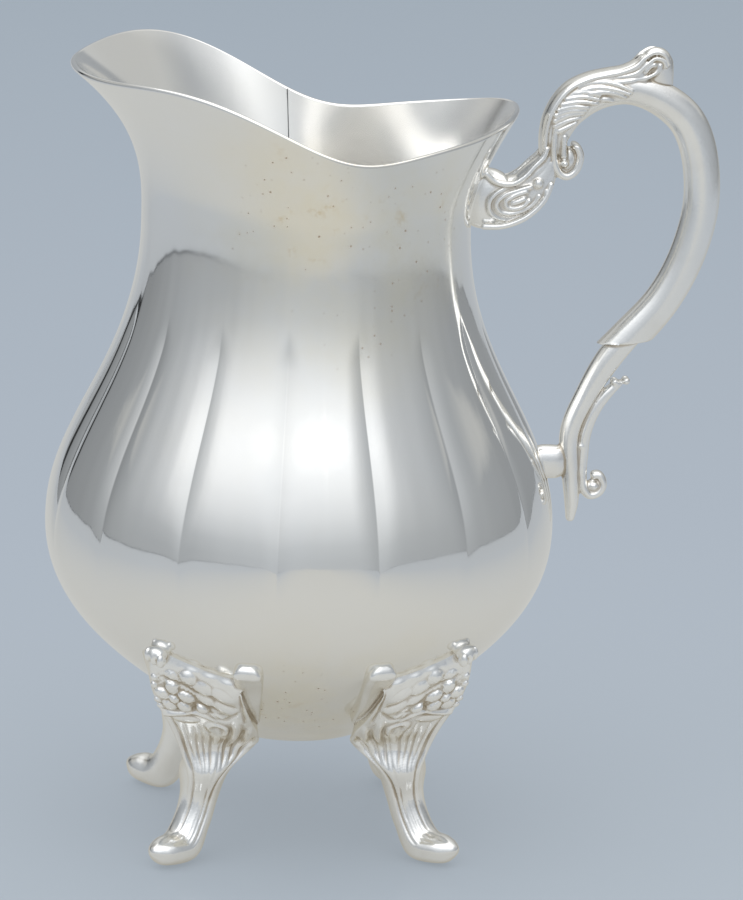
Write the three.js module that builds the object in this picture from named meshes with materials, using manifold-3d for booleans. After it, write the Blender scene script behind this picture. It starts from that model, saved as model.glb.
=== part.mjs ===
// Footed creamer in silver plate: a fluted pear-shaped body with a wide pouring lip,
// a cast scroll handle and four cast cabriole feet.
// Millimetres, +Z up, handle towards +X, pouring lip towards -X, feet on z = 0.
import * as THREE from 'three';
import { ParametricGeometry } from 'three/addons/geometries/ParametricGeometry.js';
import { mergeVertices } from 'three/addons/utils/BufferGeometryUtils.js';
import Module from 'manifold-3d';

const wasm = await Module();
wasm.setup();

// Sheet metal and soldered joints
const WALL = 0.9;
const SOLDER_GAP = 0.3;
const SEAM_GAP = 0.16;

// Body outline, radii from the body axis and heights from the feet's soles
const BASE_LIFT = 18;
const BASE_FLAT_R = 11.5;
const BASE_OPENING_R = 9;
const HEEL_R = 14.5;
const HEEL_RISE = 2;
const BELLY_R = 41.45;
const BELLY_RISE = 34;
const BELLY_LOWER_PULL = 14;
const HEEL_PULL_R = 14.5;
const HEEL_PULL_RISE = 9.6;
const NECK_R = 26.55;
const NECK_RISE = 50;
const BELLY_UPPER_PULL = 17.7;
const NECK_PULL = 24;

// Rim, as a mean radius and height with waves of one to six turns round the axis
const RIM_R = 33.1;
const RIM_R_WAVES = [-4.1, 2.8, 2.35, -0.05, -0.35, 0.1];
const RIM_RISE = 19.6;
const RIM_RISE_WAVES = [-5.2, 2.55, 2.25, -0.85, -0.2, 0.45];
const FLARE_POWER = 2.3;
const FLARE_POWER_SWING = 0.6;

// Flutes pressed into the belly
const FLUTES = 16;
const FLUTE_DEPTH = 0.9;
const FLUTE_WIDTH = 4.2;
const FLUTE_TOP_DROP = 10;
const FLUTE_TOP_FADE = 9;
const FLUTE_FOOT_DROP = 58;
const FLUTE_FOOT_FADE = 34;

// Bottom disc, lying on the turned-in ledge of the body
const DISC_R = 12.2;
const DISC_THICKNESS = 1;

// Handle casting, measured outwards from the belly and upwards from the neck
const SHAFT_T = 2.95;
const SHAFT_W = 2.8;
const BOW_TOP = 21.9;
const BOW_REACH = 23.15;
const LEDGE_DROP = 20.4;
const STEM_DROP = 40.4;
const STEM_T = 2.8;
const STEM_W = 2.2;
const BRACKET_RISE = 4;
const BRACKET_T = 6.1;
const BRACKET_W = 3.3;
const SEAT_DEPTH = 2;
const TAIL_DROP = 50.8;
const UPPER_VOLUTE_R = 1.95;
const LOWER_VOLUTE_R = 1.6;
const THUMB_R = 2.7;
const THUMB_W = 2.3;

// Feet, measured outwards from the body axis, upwards from the sole and sideways along the body.
// Each foot has a long wing on the side that faces along Y and a short one on the other side.
// Heights of the knee are taken on the body's flank, and lifts are distances from it.
const FOOT_LIP_TURN = 43.5;
const FOOT_HANDLE_TURN = 46.5;
const CREST_Z = 39.3;
const CREST_LIFT = 0.9;
const CALF_Z = 28.7;
const CALF_LIFT = 6.8;
const WING_ANGLE = 25.5;
const WING_TOP_Z = 38;
const WING_TIP_Z = 24.3;
const WING_TOP_LIFT = 1.2;
const WING_LIFT = 3.2;
const SHORT_WING_ANGLE = 9;
const SHORT_TOP_Z = 38.4;
const SHORT_TIP_Z = 26;
const SHORT_LIFT = 3.4;
const BACK_DEPTH = 6;
const FACE_BULGE = 0.6;
const WEB_R = 28.9;
const WEB_Z = 19.2;
const WEB_EDGE_R = 19.6;
const WEB_EDGE_ANGLE = 22;
const SHIN_R = 27.5;
const SHIN_Z = 14.8;
const SHIN_EDGE_R = 19.9;
const SHIN_EDGE_ANGLE = 13.5;
const ANKLE_R = 23.7;
const ANKLE_Z = 9.8;
const ANKLE_T = 2.85;
const SOLE_R = 28.6;
const TOE_R = 34.6;
const TOE_T = 3.1;
const TOE_W = 3.5;
const TOE_TIP_T = 0.9;
const KNOB_Z = 37.6;
const KNOB_LIFT = 1.2;
const KNOB_R = 2;
const KNOB_W = 2.8;
const BAND_TOP_ANGLE = 27.4;
const BAND_FOOT_ANGLE = 21.5;
const BAND_W = 2.4;
const BAND_LIFT = 1.5;
const FLOWER_SHARE = 0.27;
const FLOWER_R = 2.9;
const FLOWER_H = 1;
const FLOWER_PETALS = 5;
const PETAL_SWING = 0.2;

// Fineness of the faceted surfaces
const FLARE_ROWS = 6;
const UPPER_ROWS = 9;
const LOWER_ROWS = 7;
const HEEL_ROWS = 2;
const GRID_TOLERANCE = 1e-4;
const CUT_TOLERANCE = 0.01;

const silver = new THREE.MeshStandardMaterial({ color: 0xc8c7c0, metalness: 1, roughness: 0.12 });
const casting = new THREE.MeshStandardMaterial({ color: 0xd4d2cb, metalness: 1, roughness: 0.28 });

const BELLY_Z = BASE_LIFT + BELLY_RISE;
const NECK_Z = BELLY_Z + NECK_RISE;
const HEEL_Z = BASE_LIFT + HEEL_RISE;
const TURN = 2 * Math.PI;

// The surface with corners closer than a distance merged, and without the triangles that this flattens.
function withoutSlivers(surface, distance) {
  const merged = mergeVertices(surface, distance);
  const corners = [...merged.index.array];
  const kept = [];
  for (let i = 0; i < corners.length; i += 3) {
    const [a, b, c] = corners.slice(i, i + 3);
    if (a !== b && b !== c && c !== a) kept.push(a, b, c);
  }
  merged.setIndex(kept);
  return merged;
}

// A closed grid surface as a solid.
function solidFrom(surface) {
  surface.deleteAttribute('normal');
  surface.deleteAttribute('uv');
  const closed = withoutSlivers(surface, GRID_TOLERANCE);
  return new wasm.Manifold(new wasm.Mesh({
    numProp: 3,
    vertProperties: new Float32Array(closed.attributes.position.array),
    triVerts: new Uint32Array(closed.index.array),
  }));
}

function meshFrom(name, solid, material) {
  const { vertProperties, triVerts } = solid.getMesh();
  const cut = new THREE.BufferGeometry();
  cut.setAttribute('position', new THREE.BufferAttribute(vertProperties, 3));
  cut.setIndex(new THREE.BufferAttribute(triVerts, 1));
  const geometry = withoutSlivers(cut, CUT_TOLERANCE);
  geometry.computeVertexNormals();
  const mesh = new THREE.Mesh(geometry, material);
  mesh.name = name;
  return mesh;
}

function box(low, high) {
  const size = new THREE.Vector3().subVectors(high, low);
  const middle = new THREE.Vector3().addVectors(low, high).multiplyScalar(0.5);
  const block = new THREE.BoxGeometry(size.x, size.y, size.z);
  return solidFrom(block.translate(middle.x, middle.y, middle.z));
}

// Body outline from the edge of the base opening up to the neck, as points of radius and height.
function bodyOutline() {
  const heel = new THREE.QuadraticBezierCurve(
    new THREE.Vector2(BASE_FLAT_R, BASE_LIFT),
    new THREE.Vector2((BASE_FLAT_R + HEEL_R) / 2, BASE_LIFT),
    new THREE.Vector2(HEEL_R, HEEL_Z));
  const lower = new THREE.CubicBezierCurve(
    new THREE.Vector2(HEEL_R, HEEL_Z),
    new THREE.Vector2(HEEL_R + HEEL_PULL_R, HEEL_Z + HEEL_PULL_RISE),
    new THREE.Vector2(BELLY_R, BELLY_Z - BELLY_LOWER_PULL),
    new THREE.Vector2(BELLY_R, BELLY_Z));
  const upper = new THREE.CubicBezierCurve(
    new THREE.Vector2(BELLY_R, BELLY_Z),
    new THREE.Vector2(BELLY_R, BELLY_Z + BELLY_UPPER_PULL),
    new THREE.Vector2(NECK_R, NECK_Z - NECK_PULL),
    new THREE.Vector2(NECK_R, NECK_Z));
  return [
    new THREE.Vector2(BASE_OPENING_R, BASE_LIFT),
    ...heel.getPoints(HEEL_ROWS),
    ...lower.getSpacedPoints(LOWER_ROWS).slice(1),
    ...upper.getSpacedPoints(UPPER_ROWS).slice(1),
  ];
}

const outline = bodyOutline();

function waves(mean, swings, angle) {
  return swings.reduce((sum, swing, turn) => sum + swing * Math.cos((turn + 1) * angle), mean);
}

// Depth of the flutes: a sharp valley between rounded lobes, fading out at both ends.
function fluteDepth(radius, z, angle) {
  const pitch = TURN / FLUTES;
  const across = (((angle / pitch) % 1) + 1) % 1 - 0.5;
  const distance = Math.abs(across) * pitch * radius;
  const top = NECK_Z - FLUTE_TOP_DROP;
  const foot = NECK_Z - FLUTE_FOOT_DROP;
  const fade = THREE.MathUtils.smoothstep(top - z, 0, FLUTE_TOP_FADE)
    * THREE.MathUtils.smoothstep(z - foot, 0, FLUTE_FOOT_FADE);
  return FLUTE_DEPTH * fade * Math.exp(-2 * distance / FLUTE_WIDTH);
}

// Outer outline of the body in the half plane at one angle round the axis.
function outlineAt(angle) {
  const fluted = outline.map((p) => new THREE.Vector2(p.x - fluteDepth(p.x, p.y, angle), p.y));
  const rimR = waves(RIM_R, RIM_R_WAVES, angle);
  const rimZ = NECK_Z + waves(RIM_RISE, RIM_RISE_WAVES, angle);
  const power = FLARE_POWER - FLARE_POWER_SWING * Math.cos(angle);
  for (let row = 1; row <= FLARE_ROWS; row += 1) {
    const t = row / FLARE_ROWS;
    const flare = (rimR - NECK_R) * t ** power;
    fluted.push(new THREE.Vector2(NECK_R + flare, THREE.MathUtils.lerp(NECK_Z, rimZ, t)));
  }
  return fluted;
}

// The outline moved sideways along its own normals, outwards for a positive distance.
function offsetOutline(points, distance) {
  return points.map((p, i) => {
    const before = points[Math.max(i - 1, 0)];
    const after = points[Math.min(i + 1, points.length - 1)];
    const along = new THREE.Vector2().subVectors(after, before).normalize();
    return new THREE.Vector2(p.x + along.y * distance, p.y - along.x * distance);
  });
}

// Angles round the axis: each flute's valley, both its shoulders and the crown of its lobe.
function fluteAngles() {
  const pitch = TURN / FLUTES;
  const shoulder = FLUTE_WIDTH / BELLY_R;
  const places = [0, shoulder, pitch / 2, pitch - shoulder];
  const angles = [];
  for (let flute = 0; flute < FLUTES; flute += 1) {
    angles.push(...places.map((place) => (flute + 0.5) * pitch + place));
  }
  return angles;
}

// Surface turned round the axis from a closed loop of points for each angle.
function turned(loopAt) {
  const loops = fluteAngles().map((angle) => ({ angle, loop: loopAt(angle) }));
  const steps = loops.length;
  const rows = loops[0].loop.length - 1;
  return solidFrom(new ParametricGeometry((u, v, target) => {
    const { angle, loop } = loops[Math.round(u * steps) % steps];
    const p = loop[Math.round(v * rows)];
    target.set(p.x * Math.cos(angle), p.x * Math.sin(angle), p.y);
  }, steps, rows));
}

function bodyShell() {
  return turned((angle) => {
    const outer = outlineAt(angle);
    const inner = offsetOutline(outer, -WALL).reverse();
    return [...outer, ...inner, outer[0]];
  });
}

// The space that the body fills, grown by a distance, for cutting the seats of the castings.
function bodySpace(distance) {
  const topZ = NECK_Z + RIM_RISE;
  return turned((angle) => {
    const skin = offsetOutline(outlineAt(angle), distance);
    return [new THREE.Vector2(0, skin[0].y), ...skin, new THREE.Vector2(0, topZ)];
  });
}

// Solid of oval sections along a path near the XZ plane, closed to a point at both ends.
// sizeAt gives the half thickness in the plane and the half width across it.
function loft(path, sizeAt, rings, sides) {
  const rows = rings + 1;
  return solidFrom(new ParametricGeometry((u, v, target) => {
    const row = Math.round(v * rows);
    const t = THREE.MathUtils.clamp((row - 1) / (rings - 1), 0, 1);
    const centre = path.getPoint(t);
    const along = path.getTangent(t);
    const size = sizeAt(t);
    const round = row === 0 || row === rows ? 0 : 1;
    const side = -Math.round(u * sides) / sides * TURN;
    const thick = size.x * Math.cos(side) * round;
    target.set(
      centre.x - along.z * thick,
      centre.y + size.y * Math.sin(side) * round,
      centre.z + along.x * thick);
  }, sides, rows));
}

// Loft through stations of { x, z, t, w }, with y where a station lies beside the plane.
function stationLoft(stations, rings, sides) {
  const path = new THREE.CatmullRomCurve3(stations.map((s) => new THREE.Vector3(s.x, s.y ?? 0, s.z)));
  const sizes = new THREE.CatmullRomCurve3(stations.map((s) => new THREE.Vector3(s.t, s.w, 0)));
  return loft(path, (t) => sizes.getPoint(t), rings, sides);
}

// Stations along a spiral that starts on the left of its eye and winds in, getting thinner.
function scroll(eye, radius, end, turn, steps) {
  const stations = [];
  for (let i = 0; i <= steps; i += 1) {
    const share = i / steps;
    const angle = Math.PI + turn * share;
    const r = THREE.MathUtils.lerp(radius, end, share);
    stations.push({
      x: eye.x + r * Math.cos(angle),
      z: eye.z + r * Math.sin(angle),
      t: eye.t * (1 - 0.35 * share),
      w: eye.w,
    });
  }
  return stations;
}

// Ball of three radii with its centre in the XZ plane, then turned round the body axis.
function ball(centre, radii, turn = 0) {
  const sphere = new THREE.SphereGeometry(1, 8, 6).rotateX(Math.PI / 2);
  return solidFrom(sphere.scale(radii.x, radii.y, radii.z)
    .translate(centre.x, 0, centre.z)
    .rotateZ(turn));
}

// Radius of the body's skin at one height on the handle's side.
function bodyRadiusAt(z) {
  const skin = outlineAt(0);
  const i = skin.findIndex((p) => p.y >= z);
  const low = skin[i - 1];
  const high = skin[i];
  return THREE.MathUtils.lerp(low.x, high.x, (z - low.y) / (high.y - low.y));
}

// Stations of the handle are shares of its main sizes: out of the bow's reach from the belly,
// up of the bow's rise above the neck or, below it, of the tail's drop, and sizes of the shaft's.
function handleSolid() {
  const place = (out, up) => ({
    x: BELLY_R + out * BOW_REACH,
    z: NECK_Z + up * (up > 0 ? BOW_TOP : TAIL_DROP),
  });
  const at = (out, up, t, w) => ({ ...place(out, up), t: t * SHAFT_T, w: w * SHAFT_W });
  const bow = stationLoft([
    at(-0.08, 0.47, 0.5, 0.75),
    at(0.03, 0.84, 1, 1),
    at(0.19, 0.955, 1, 1),
    at(0.415, 1, 0.92, 1),
    at(0.84, 0.795, 1, 1),
    at(1, 0.18, 1, 1),
    at(0.935, -0.083, 1, 1),
    at(0.755, -0.258, 1, 1),
    at(0.36, -0.46, 1, 1),
  ], 26, 12);
  const far = 4 * BELLY_R;
  const sleeve = bow.intersect(box(
    new THREE.Vector3(-far, -far, NECK_Z - LEDGE_DROP),
    new THREE.Vector3(far, far, far)));
  const shank = stationLoft([
    at(0.61, -0.33, 0.64, 0.79),
    at(0.385, -0.453, 0.71, 0.79),
    at(0.233, -0.571, 0.59, 0.75),
    at(0.125, -0.7, 0.54, 0.71),
    at(0.138, -0.827, 0.475, 0.68),
    at(0.155, -0.935, 0.37, 0.54),
    at(0.147, -1, 0.17, 0.29),
  ], 13, 10);
  const tendril = stationLoft([
    at(0.497, -0.508, 0.17, 0.32),
    at(0.406, -0.547, 0.3, 0.43),
    at(0.307, -0.61, 0.34, 0.5),
    at(0.242, -0.693, 0.34, 0.5),
    at(0.22, -0.787, 0.32, 0.46),
    ...scroll(at(0.3, -0.87, 0.29, 0.5), LOWER_VOLUTE_R, LOWER_VOLUTE_R / 2, 2.4 * Math.PI, 9),
  ], 24, 8);
  const curl = stationLoft([
    at(-0.026, 0.694, 0.34, 0.71),
    at(-0.056, 0.557, 0.34, 0.71),
    ...scroll(at(0.026, 0.447, 0.3, 0.71), UPPER_VOLUTE_R, UPPER_VOLUTE_R, 1.45 * Math.PI, 7),
  ], 16, 8);
  const strand = stationLoft([
    at(0.022, 0.685, 0.27, 0.68),
    at(0.022, 0.548, 0.27, 0.68),
    at(0.022, 0.438, 0.34, 0.68),
  ], 4, 8);
  const bracketZ = NECK_Z + BRACKET_RISE;
  const bracket = stationLoft([
    { x: NECK_R - SEAT_DEPTH, z: bracketZ, t: BRACKET_T, w: BRACKET_W },
    { x: NECK_R + 0.5 * BRACKET_T, z: bracketZ, t: 0.82 * BRACKET_T, w: BRACKET_W },
    at(-0.363, 0.169, 1.36, 1.18),
    at(-0.225, 0.237, 1.12, 1.07),
    at(-0.13, 0.365, 0.78, 0.93),
    at(-0.07, 0.5, 0.51, 0.79),
  ], 11, 12);
  const rib = stationLoft([
    at(0.112, 1.014, 0.305, 0.57),
    at(0.346, 1.096, 0.37, 0.64),
    at(0.514, 1.14, 0.51, 0.71),
    at(0.622, 1.187, 0.54, 0.71),
  ], 7, 8);
  const thumb = ball(place(0.646, 1.192), new THREE.Vector3(THUMB_R, THUMB_W, THUMB_R));
  const thumbNeck = stationLoft([
    at(0.708, 1.178, 0.41, 0.71),
    at(0.721, 1.078, 0.41, 0.71),
    at(0.708, 0.959, 0.34, 0.64),
  ], 4, 8);
  const stemZ = NECK_Z - STEM_DROP;
  const stem = stationLoft([
    { x: bodyRadiusAt(stemZ) - SEAT_DEPTH, z: stemZ, t: STEM_T, w: STEM_W },
    { x: BELLY_R + 0.3 * STEM_T, z: stemZ, t: STEM_T, w: STEM_W },
    { x: BELLY_R + 1.1 * STEM_T, z: stemZ, t: STEM_T, w: 0.8 * STEM_W },
  ], 4, 10);
  const pieces = [shank, tendril, curl, strand, bracket, rib, thumb, thumbNeck, stem];
  return pieces.reduce((sum, piece) => sum.add(piece), sleeve).subtract(bodySpace(SOLDER_GAP));
}

// Point on the flank of the body below the belly, moved out along the flank's normal.
function flankPoint(z, distance) {
  const moved = offsetOutline(outline, distance);
  const i = Math.max(outline.findIndex((p) => p.y >= z), 2);
  const share = (z - outline[i - 1].y) / (outline[i].y - outline[i - 1].y);
  return moved[i - 1].clone().lerp(moved[i], share);
}

// Point beside a foot's plane: an angle along the body, on its flank or at a radius and height.
function beside(point, degrees, hand) {
  const angle = THREE.MathUtils.degToRad(degrees) * hand;
  return new THREE.Vector3(point.x * Math.cos(angle), point.x * Math.sin(angle), point.y);
}

// A loop of corners with each corner cut off at a share of its two sides.
function cutCorners(loop, share) {
  return loop.flatMap((p, i) => {
    const next = loop[(i + 1) % loop.length];
    return [p.clone().lerp(next, share), p.clone().lerp(next, 1 - share)];
  });
}

// Solid of sections between stations of as many corners, closed to a point at both ends.
// cuts gives the shares at which the corners of a section are cut off, once for each share.
function cornerLoft(stations, rings, cuts, hand) {
  const lines = stations[0].map((_, k) => new THREE.CatmullRomCurve3(stations.map((s) => s[k])));
  const rows = rings + 1;
  const sides = lines.length * 2 ** cuts.length;
  return solidFrom(new ParametricGeometry((u, v, target) => {
    const row = Math.round(v * rows);
    const t = THREE.MathUtils.clamp((row - 1) / (rings - 1), 0, 1);
    const corners = lines.map((line) => line.getPoint(t));
    if (row === 0 || row === rows) {
      target.set(0, 0, 0);
      corners.forEach((corner) => target.addScaledVector(corner, 1 / corners.length));
      return;
    }
    const loop = cuts.reduce(cutCorners, corners);
    const side = Math.round(u * sides) % sides;
    target.copy(loop[hand > 0 ? sides - 1 - side : side]);
  }, sides, rows));
}

// Corners of the knee's section at a share of the way from the crest down to the calf: the outer
// ridge, the middle of the face, the edge of the long wing, the back and the short wing.
function kneeSection(share, hand) {
  const down = (from, to) => THREE.MathUtils.lerp(from, to, share);
  const rise = (from, to) => THREE.MathUtils.lerp(from, to, share ** 0.6);
  const ridge = flankPoint(down(CREST_Z, CALF_Z), rise(CREST_LIFT, CALF_LIFT));
  const edge = flankPoint(
    down(WING_TOP_Z, WING_TIP_Z),
    THREE.MathUtils.lerp(WING_TOP_LIFT, WING_LIFT, share ** 0.25));
  const short = flankPoint(down(SHORT_TOP_Z, SHORT_TIP_Z), rise(CREST_LIFT, SHORT_LIFT));
  const face = flankPoint(
    down((CREST_Z + WING_TOP_Z) / 2, (CALF_Z + WING_TIP_Z) / 2),
    rise(CREST_LIFT, (CALF_LIFT + WING_LIFT) / 2));
  const back = flankPoint(down(CREST_Z, WING_TIP_Z), -BACK_DEPTH);
  return [
    beside(ridge, 0, hand),
    beside(face, WING_ANGLE / 2, hand),
    beside(edge, WING_ANGLE, hand),
    beside(back, 0.85 * WING_ANGLE, hand),
    beside(short, -SHORT_WING_ANGLE, hand),
  ];
}

// Corners of the leg's section at one height: radii of the ridge and of the back, and the edge.
function legSection(ridgeR, edgeR, edgeAngle, backR, z, hand) {
  const low = (r, degrees) => beside(new THREE.Vector2(r, z), degrees, hand);
  const ridge = low(ridgeR, 0);
  const edge = low(edgeR, edgeAngle);
  return [
    ridge,
    ridge.clone().lerp(edge, 0.5).add(new THREE.Vector3(0, FACE_BULGE * hand, 0)),
    edge,
    low(backR, edgeAngle / 3),
    low((edgeR + backR) / 2, -SHORT_WING_ANGLE),
  ];
}

// Knee and shin: a broad face from the crest and the wing's edge down to the ankle.
function kneeSolid(hand) {
  const ankleTop = ANKLE_Z + ANKLE_T / 2;
  const ankleLow = ANKLE_Z - ANKLE_T / 2;
  const ankleOut = ANKLE_R + ANKLE_T;
  return cornerLoft([
    ...[0, 0.13, 0.4, 0.7, 1].map((share) => kneeSection(share, hand)),
    legSection(WEB_R, WEB_EDGE_R, WEB_EDGE_ANGLE, HEEL_R + SEAT_DEPTH, WEB_Z, hand),
    legSection(SHIN_R, SHIN_EDGE_R, SHIN_EDGE_ANGLE, SHIN_EDGE_R, SHIN_Z, hand),
    legSection(ankleOut, ANKLE_R - ANKLE_T / 2, SHORT_WING_ANGLE, ANKLE_R - ANKLE_T, ankleTop, hand),
    legSection(ankleOut, ANKLE_R, SHORT_WING_ANGLE / 3, ANKLE_R, ankleLow, hand),
  ], 11, [0.14, 0.25], hand);
}

// Band along the end of the long wing, close to the body.
function bandSolid(hand) {
  const stations = [0, 0.3, 0.65, 1].map((share) => {
    const z = THREE.MathUtils.lerp(WING_TOP_Z, WING_TIP_Z, share);
    const outside = flankPoint(z, BAND_LIFT);
    const inside = flankPoint(z, -BACK_DEPTH / 2);
    const middle = THREE.MathUtils.lerp(BAND_TOP_ANGLE, BAND_FOOT_ANGLE, share * share);
    const half = THREE.MathUtils.radToDeg(BAND_W * (1 - share / 2) / outside.x);
    return [
      beside(outside, middle - half, hand),
      beside(outside, middle + half, hand),
      beside(inside, middle + half, hand),
      beside(inside, middle - half, hand),
    ];
  });
  return cornerLoft(stations, 5, [0.2], hand);
}

// Domed flower with round petals, lying on the face of the knee.
function flower(hand) {
  const rings = 2;
  const sides = 4 * FLOWER_PETALS;
  const [ridge, face] = kneeSection(0.45, hand);
  const [below] = kneeSection(0.7, hand);
  const seat = ridge.clone().lerp(face, 2 * FLOWER_SHARE);
  const across = new THREE.Vector3().subVectors(face, ridge);
  const down = new THREE.Vector3().subVectors(below, ridge);
  const out = new THREE.Vector3().crossVectors(down, across).multiplyScalar(hand).normalize();
  const dome = new ParametricGeometry((u, v, target) => {
    const row = Math.round(v * (rings + 1));
    const angle = -Math.round(u * sides) / sides * TURN;
    const petal = 1 + PETAL_SWING * Math.cos(FLOWER_PETALS * angle);
    const share = Math.min(row / rings, 1);
    const r = row > rings ? 0 : FLOWER_R * share * petal;
    const h = row > rings ? -FLOWER_R : FLOWER_H * (1 - share * share);
    target.set(r * Math.cos(angle), r * Math.sin(angle), h);
  }, sides, rings + 1);
  dome.applyQuaternion(new THREE.Quaternion().setFromUnitVectors(new THREE.Vector3(0, 0, 1), out));
  return solidFrom(dome.translate(seat.x, seat.y, seat.z));
}

// One foot in its own upright plane, outwards along +X, with a flat sole on z = 0.
// hand is 1 where the long wing lies towards +Y and -1 where it lies towards -Y.
function footSolid(hand) {
  const leg = stationLoft([
    { x: ANKLE_R, z: SHIN_Z, t: 0.8 * ANKLE_T, w: 0.7 * ANKLE_T },
    { x: ANKLE_R, z: ANKLE_Z, t: ANKLE_T, w: ANKLE_T },
    { x: (2 * ANKLE_R + SOLE_R) / 3, z: (ANKLE_Z + TOE_T) / 2, t: ANKLE_T, w: ANKLE_T },
    { x: SOLE_R, z: 0.95 * TOE_T, t: TOE_T, w: TOE_W },
    { x: (SOLE_R + 2 * TOE_R) / 3, z: 0.8 * TOE_T, t: 0.8 * TOE_T, w: 0.85 * TOE_W },
    { x: TOE_R, z: 0.8 * TOE_T, t: TOE_TIP_T, w: TOE_TIP_T },
  ], 11, 10);
  const crest = flankPoint(KNOB_Z, KNOB_LIFT);
  const knob = ball({ x: crest.x, z: crest.y }, new THREE.Vector3(KNOB_R, KNOB_W, KNOB_R));
  const far = 4 * BELLY_R;
  const aboveFloor = box(new THREE.Vector3(-far, -far, 0), new THREE.Vector3(far, far, far));
  const pieces = [kneeSolid(hand), bandSolid(hand), knob, flower(hand)];
  return pieces.reduce((sum, piece) => sum.add(piece), leg)
    .intersect(aboveFloor)
    .subtract(bodySpace(SOLDER_GAP));
}

function bottomDisc() {
  const low = BASE_LIFT + WALL + SOLDER_GAP;
  const profile = [
    new THREE.Vector2(0, low),
    new THREE.Vector2(DISC_R, low),
    new THREE.Vector2(DISC_R, low + DISC_THICKNESS),
    new THREE.Vector2(0, low + DISC_THICKNESS),
  ];
  return solidFrom(new THREE.LatheGeometry(profile, 32).rotateX(Math.PI / 2));
}

const creamer = new THREE.Group();
creamer.name = 'creamer';

const shell = bodyShell();
const reach = 4 * BELLY_R;
const spoutSide = box(
  new THREE.Vector3(-reach, -reach, -reach),
  new THREE.Vector3(-SEAM_GAP / 2, reach, reach));
const handleSide = box(
  new THREE.Vector3(SEAM_GAP / 2, -reach, -reach),
  new THREE.Vector3(reach, reach, reach));
creamer.add(meshFrom('body_spout_half', shell.intersect(spoutSide), silver));
creamer.add(meshFrom('body_handle_half', shell.intersect(handleSide), silver));
creamer.add(meshFrom('base_disc', bottomDisc(), silver));
creamer.add(meshFrom('handle', handleSolid(), casting));

const feet = [
  { name: 'foot_handle_rear', turn: FOOT_HANDLE_TURN, hand: 1 },
  { name: 'foot_spout_rear', turn: 180 - FOOT_LIP_TURN, hand: -1 },
  { name: 'foot_spout_front', turn: 180 + FOOT_LIP_TURN, hand: 1 },
  { name: 'foot_handle_front', turn: -FOOT_HANDLE_TURN, hand: -1 },
];
for (const { name, turn, hand } of feet) {
  const place = new THREE.Group();
  place.rotation.z = THREE.MathUtils.degToRad(turn);
  place.add(meshFrom(name, footSolid(hand), casting));
  creamer.add(place);
}

// The origin lies on the floor under the middle of the whole outline.
const bounds = new THREE.Box3().setFromObject(creamer, true);
const middle = bounds.getCenter(new THREE.Vector3());
creamer.position.set(-middle.x, -middle.y, -bounds.min.z);

export default creamer;
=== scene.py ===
"""Dresses a footed creamer: fluted silver-plate body, cast scroll handle and four cast feet."""
from __future__ import annotations

import logging
import math
from dataclasses import dataclass, field
from enum import Enum

import bmesh
import bpy
import numpy as np
from mathutils import Matrix, Vector

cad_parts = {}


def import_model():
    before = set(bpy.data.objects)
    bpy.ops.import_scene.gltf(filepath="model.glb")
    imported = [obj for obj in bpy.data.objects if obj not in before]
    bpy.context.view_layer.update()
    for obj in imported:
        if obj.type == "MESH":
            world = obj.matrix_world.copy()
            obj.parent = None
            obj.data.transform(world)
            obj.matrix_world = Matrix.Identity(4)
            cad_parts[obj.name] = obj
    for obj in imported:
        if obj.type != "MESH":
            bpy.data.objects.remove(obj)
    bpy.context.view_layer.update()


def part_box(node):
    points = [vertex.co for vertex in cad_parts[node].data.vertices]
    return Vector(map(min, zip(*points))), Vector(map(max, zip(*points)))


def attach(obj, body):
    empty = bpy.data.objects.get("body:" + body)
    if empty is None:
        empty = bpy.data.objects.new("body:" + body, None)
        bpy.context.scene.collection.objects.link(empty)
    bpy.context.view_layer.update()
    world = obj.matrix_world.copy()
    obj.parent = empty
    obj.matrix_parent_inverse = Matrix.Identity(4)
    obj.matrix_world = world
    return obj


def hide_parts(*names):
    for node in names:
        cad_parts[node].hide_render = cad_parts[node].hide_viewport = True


MM = 0.001
TURN = 2 * math.pi
LOG = logging.getLogger("creamer")

Piece = bpy.types.Object
Socket = bpy.types.NodeSocket
Colour = tuple[float, float, float]
Course = tuple[tuple[float, float], ...]
Stations = tuple[tuple[float, ...], ...]


class Slot(Enum):
    """Material slots of the part's record."""

    SHEET = "polished_plate"
    CAST = "cast_plate"


class Hand(Enum):
    """Which way a foot's long wing lies, seen from above."""

    LEFT = 1
    RIGHT = -1


def bezier(points: list[tuple[float, float]], count: int) -> np.ndarray:
    """Points of a cubic curve from its four control points, evenly spaced along its length.

    Args:
        points: the control points.
        count: number of points to return.
    Returns:
        Array of count x 2.
    """
    p = np.asarray(points, float)
    t = np.linspace(0, 1, 16 * count)[:, None]
    fine = ((1 - t) ** 3 * p[0] + 3 * (1 - t) ** 2 * t * p[1]
            + 3 * (1 - t) * t**2 * p[2] + t**3 * p[3])
    length = np.concatenate([[0], np.cumsum(np.linalg.norm(np.diff(fine, axis=0), axis=1))])
    at = np.linspace(0, length[-1], count)
    return np.stack([np.interp(at, length, fine[:, k]) for k in (0, 1)], 1)


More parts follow.
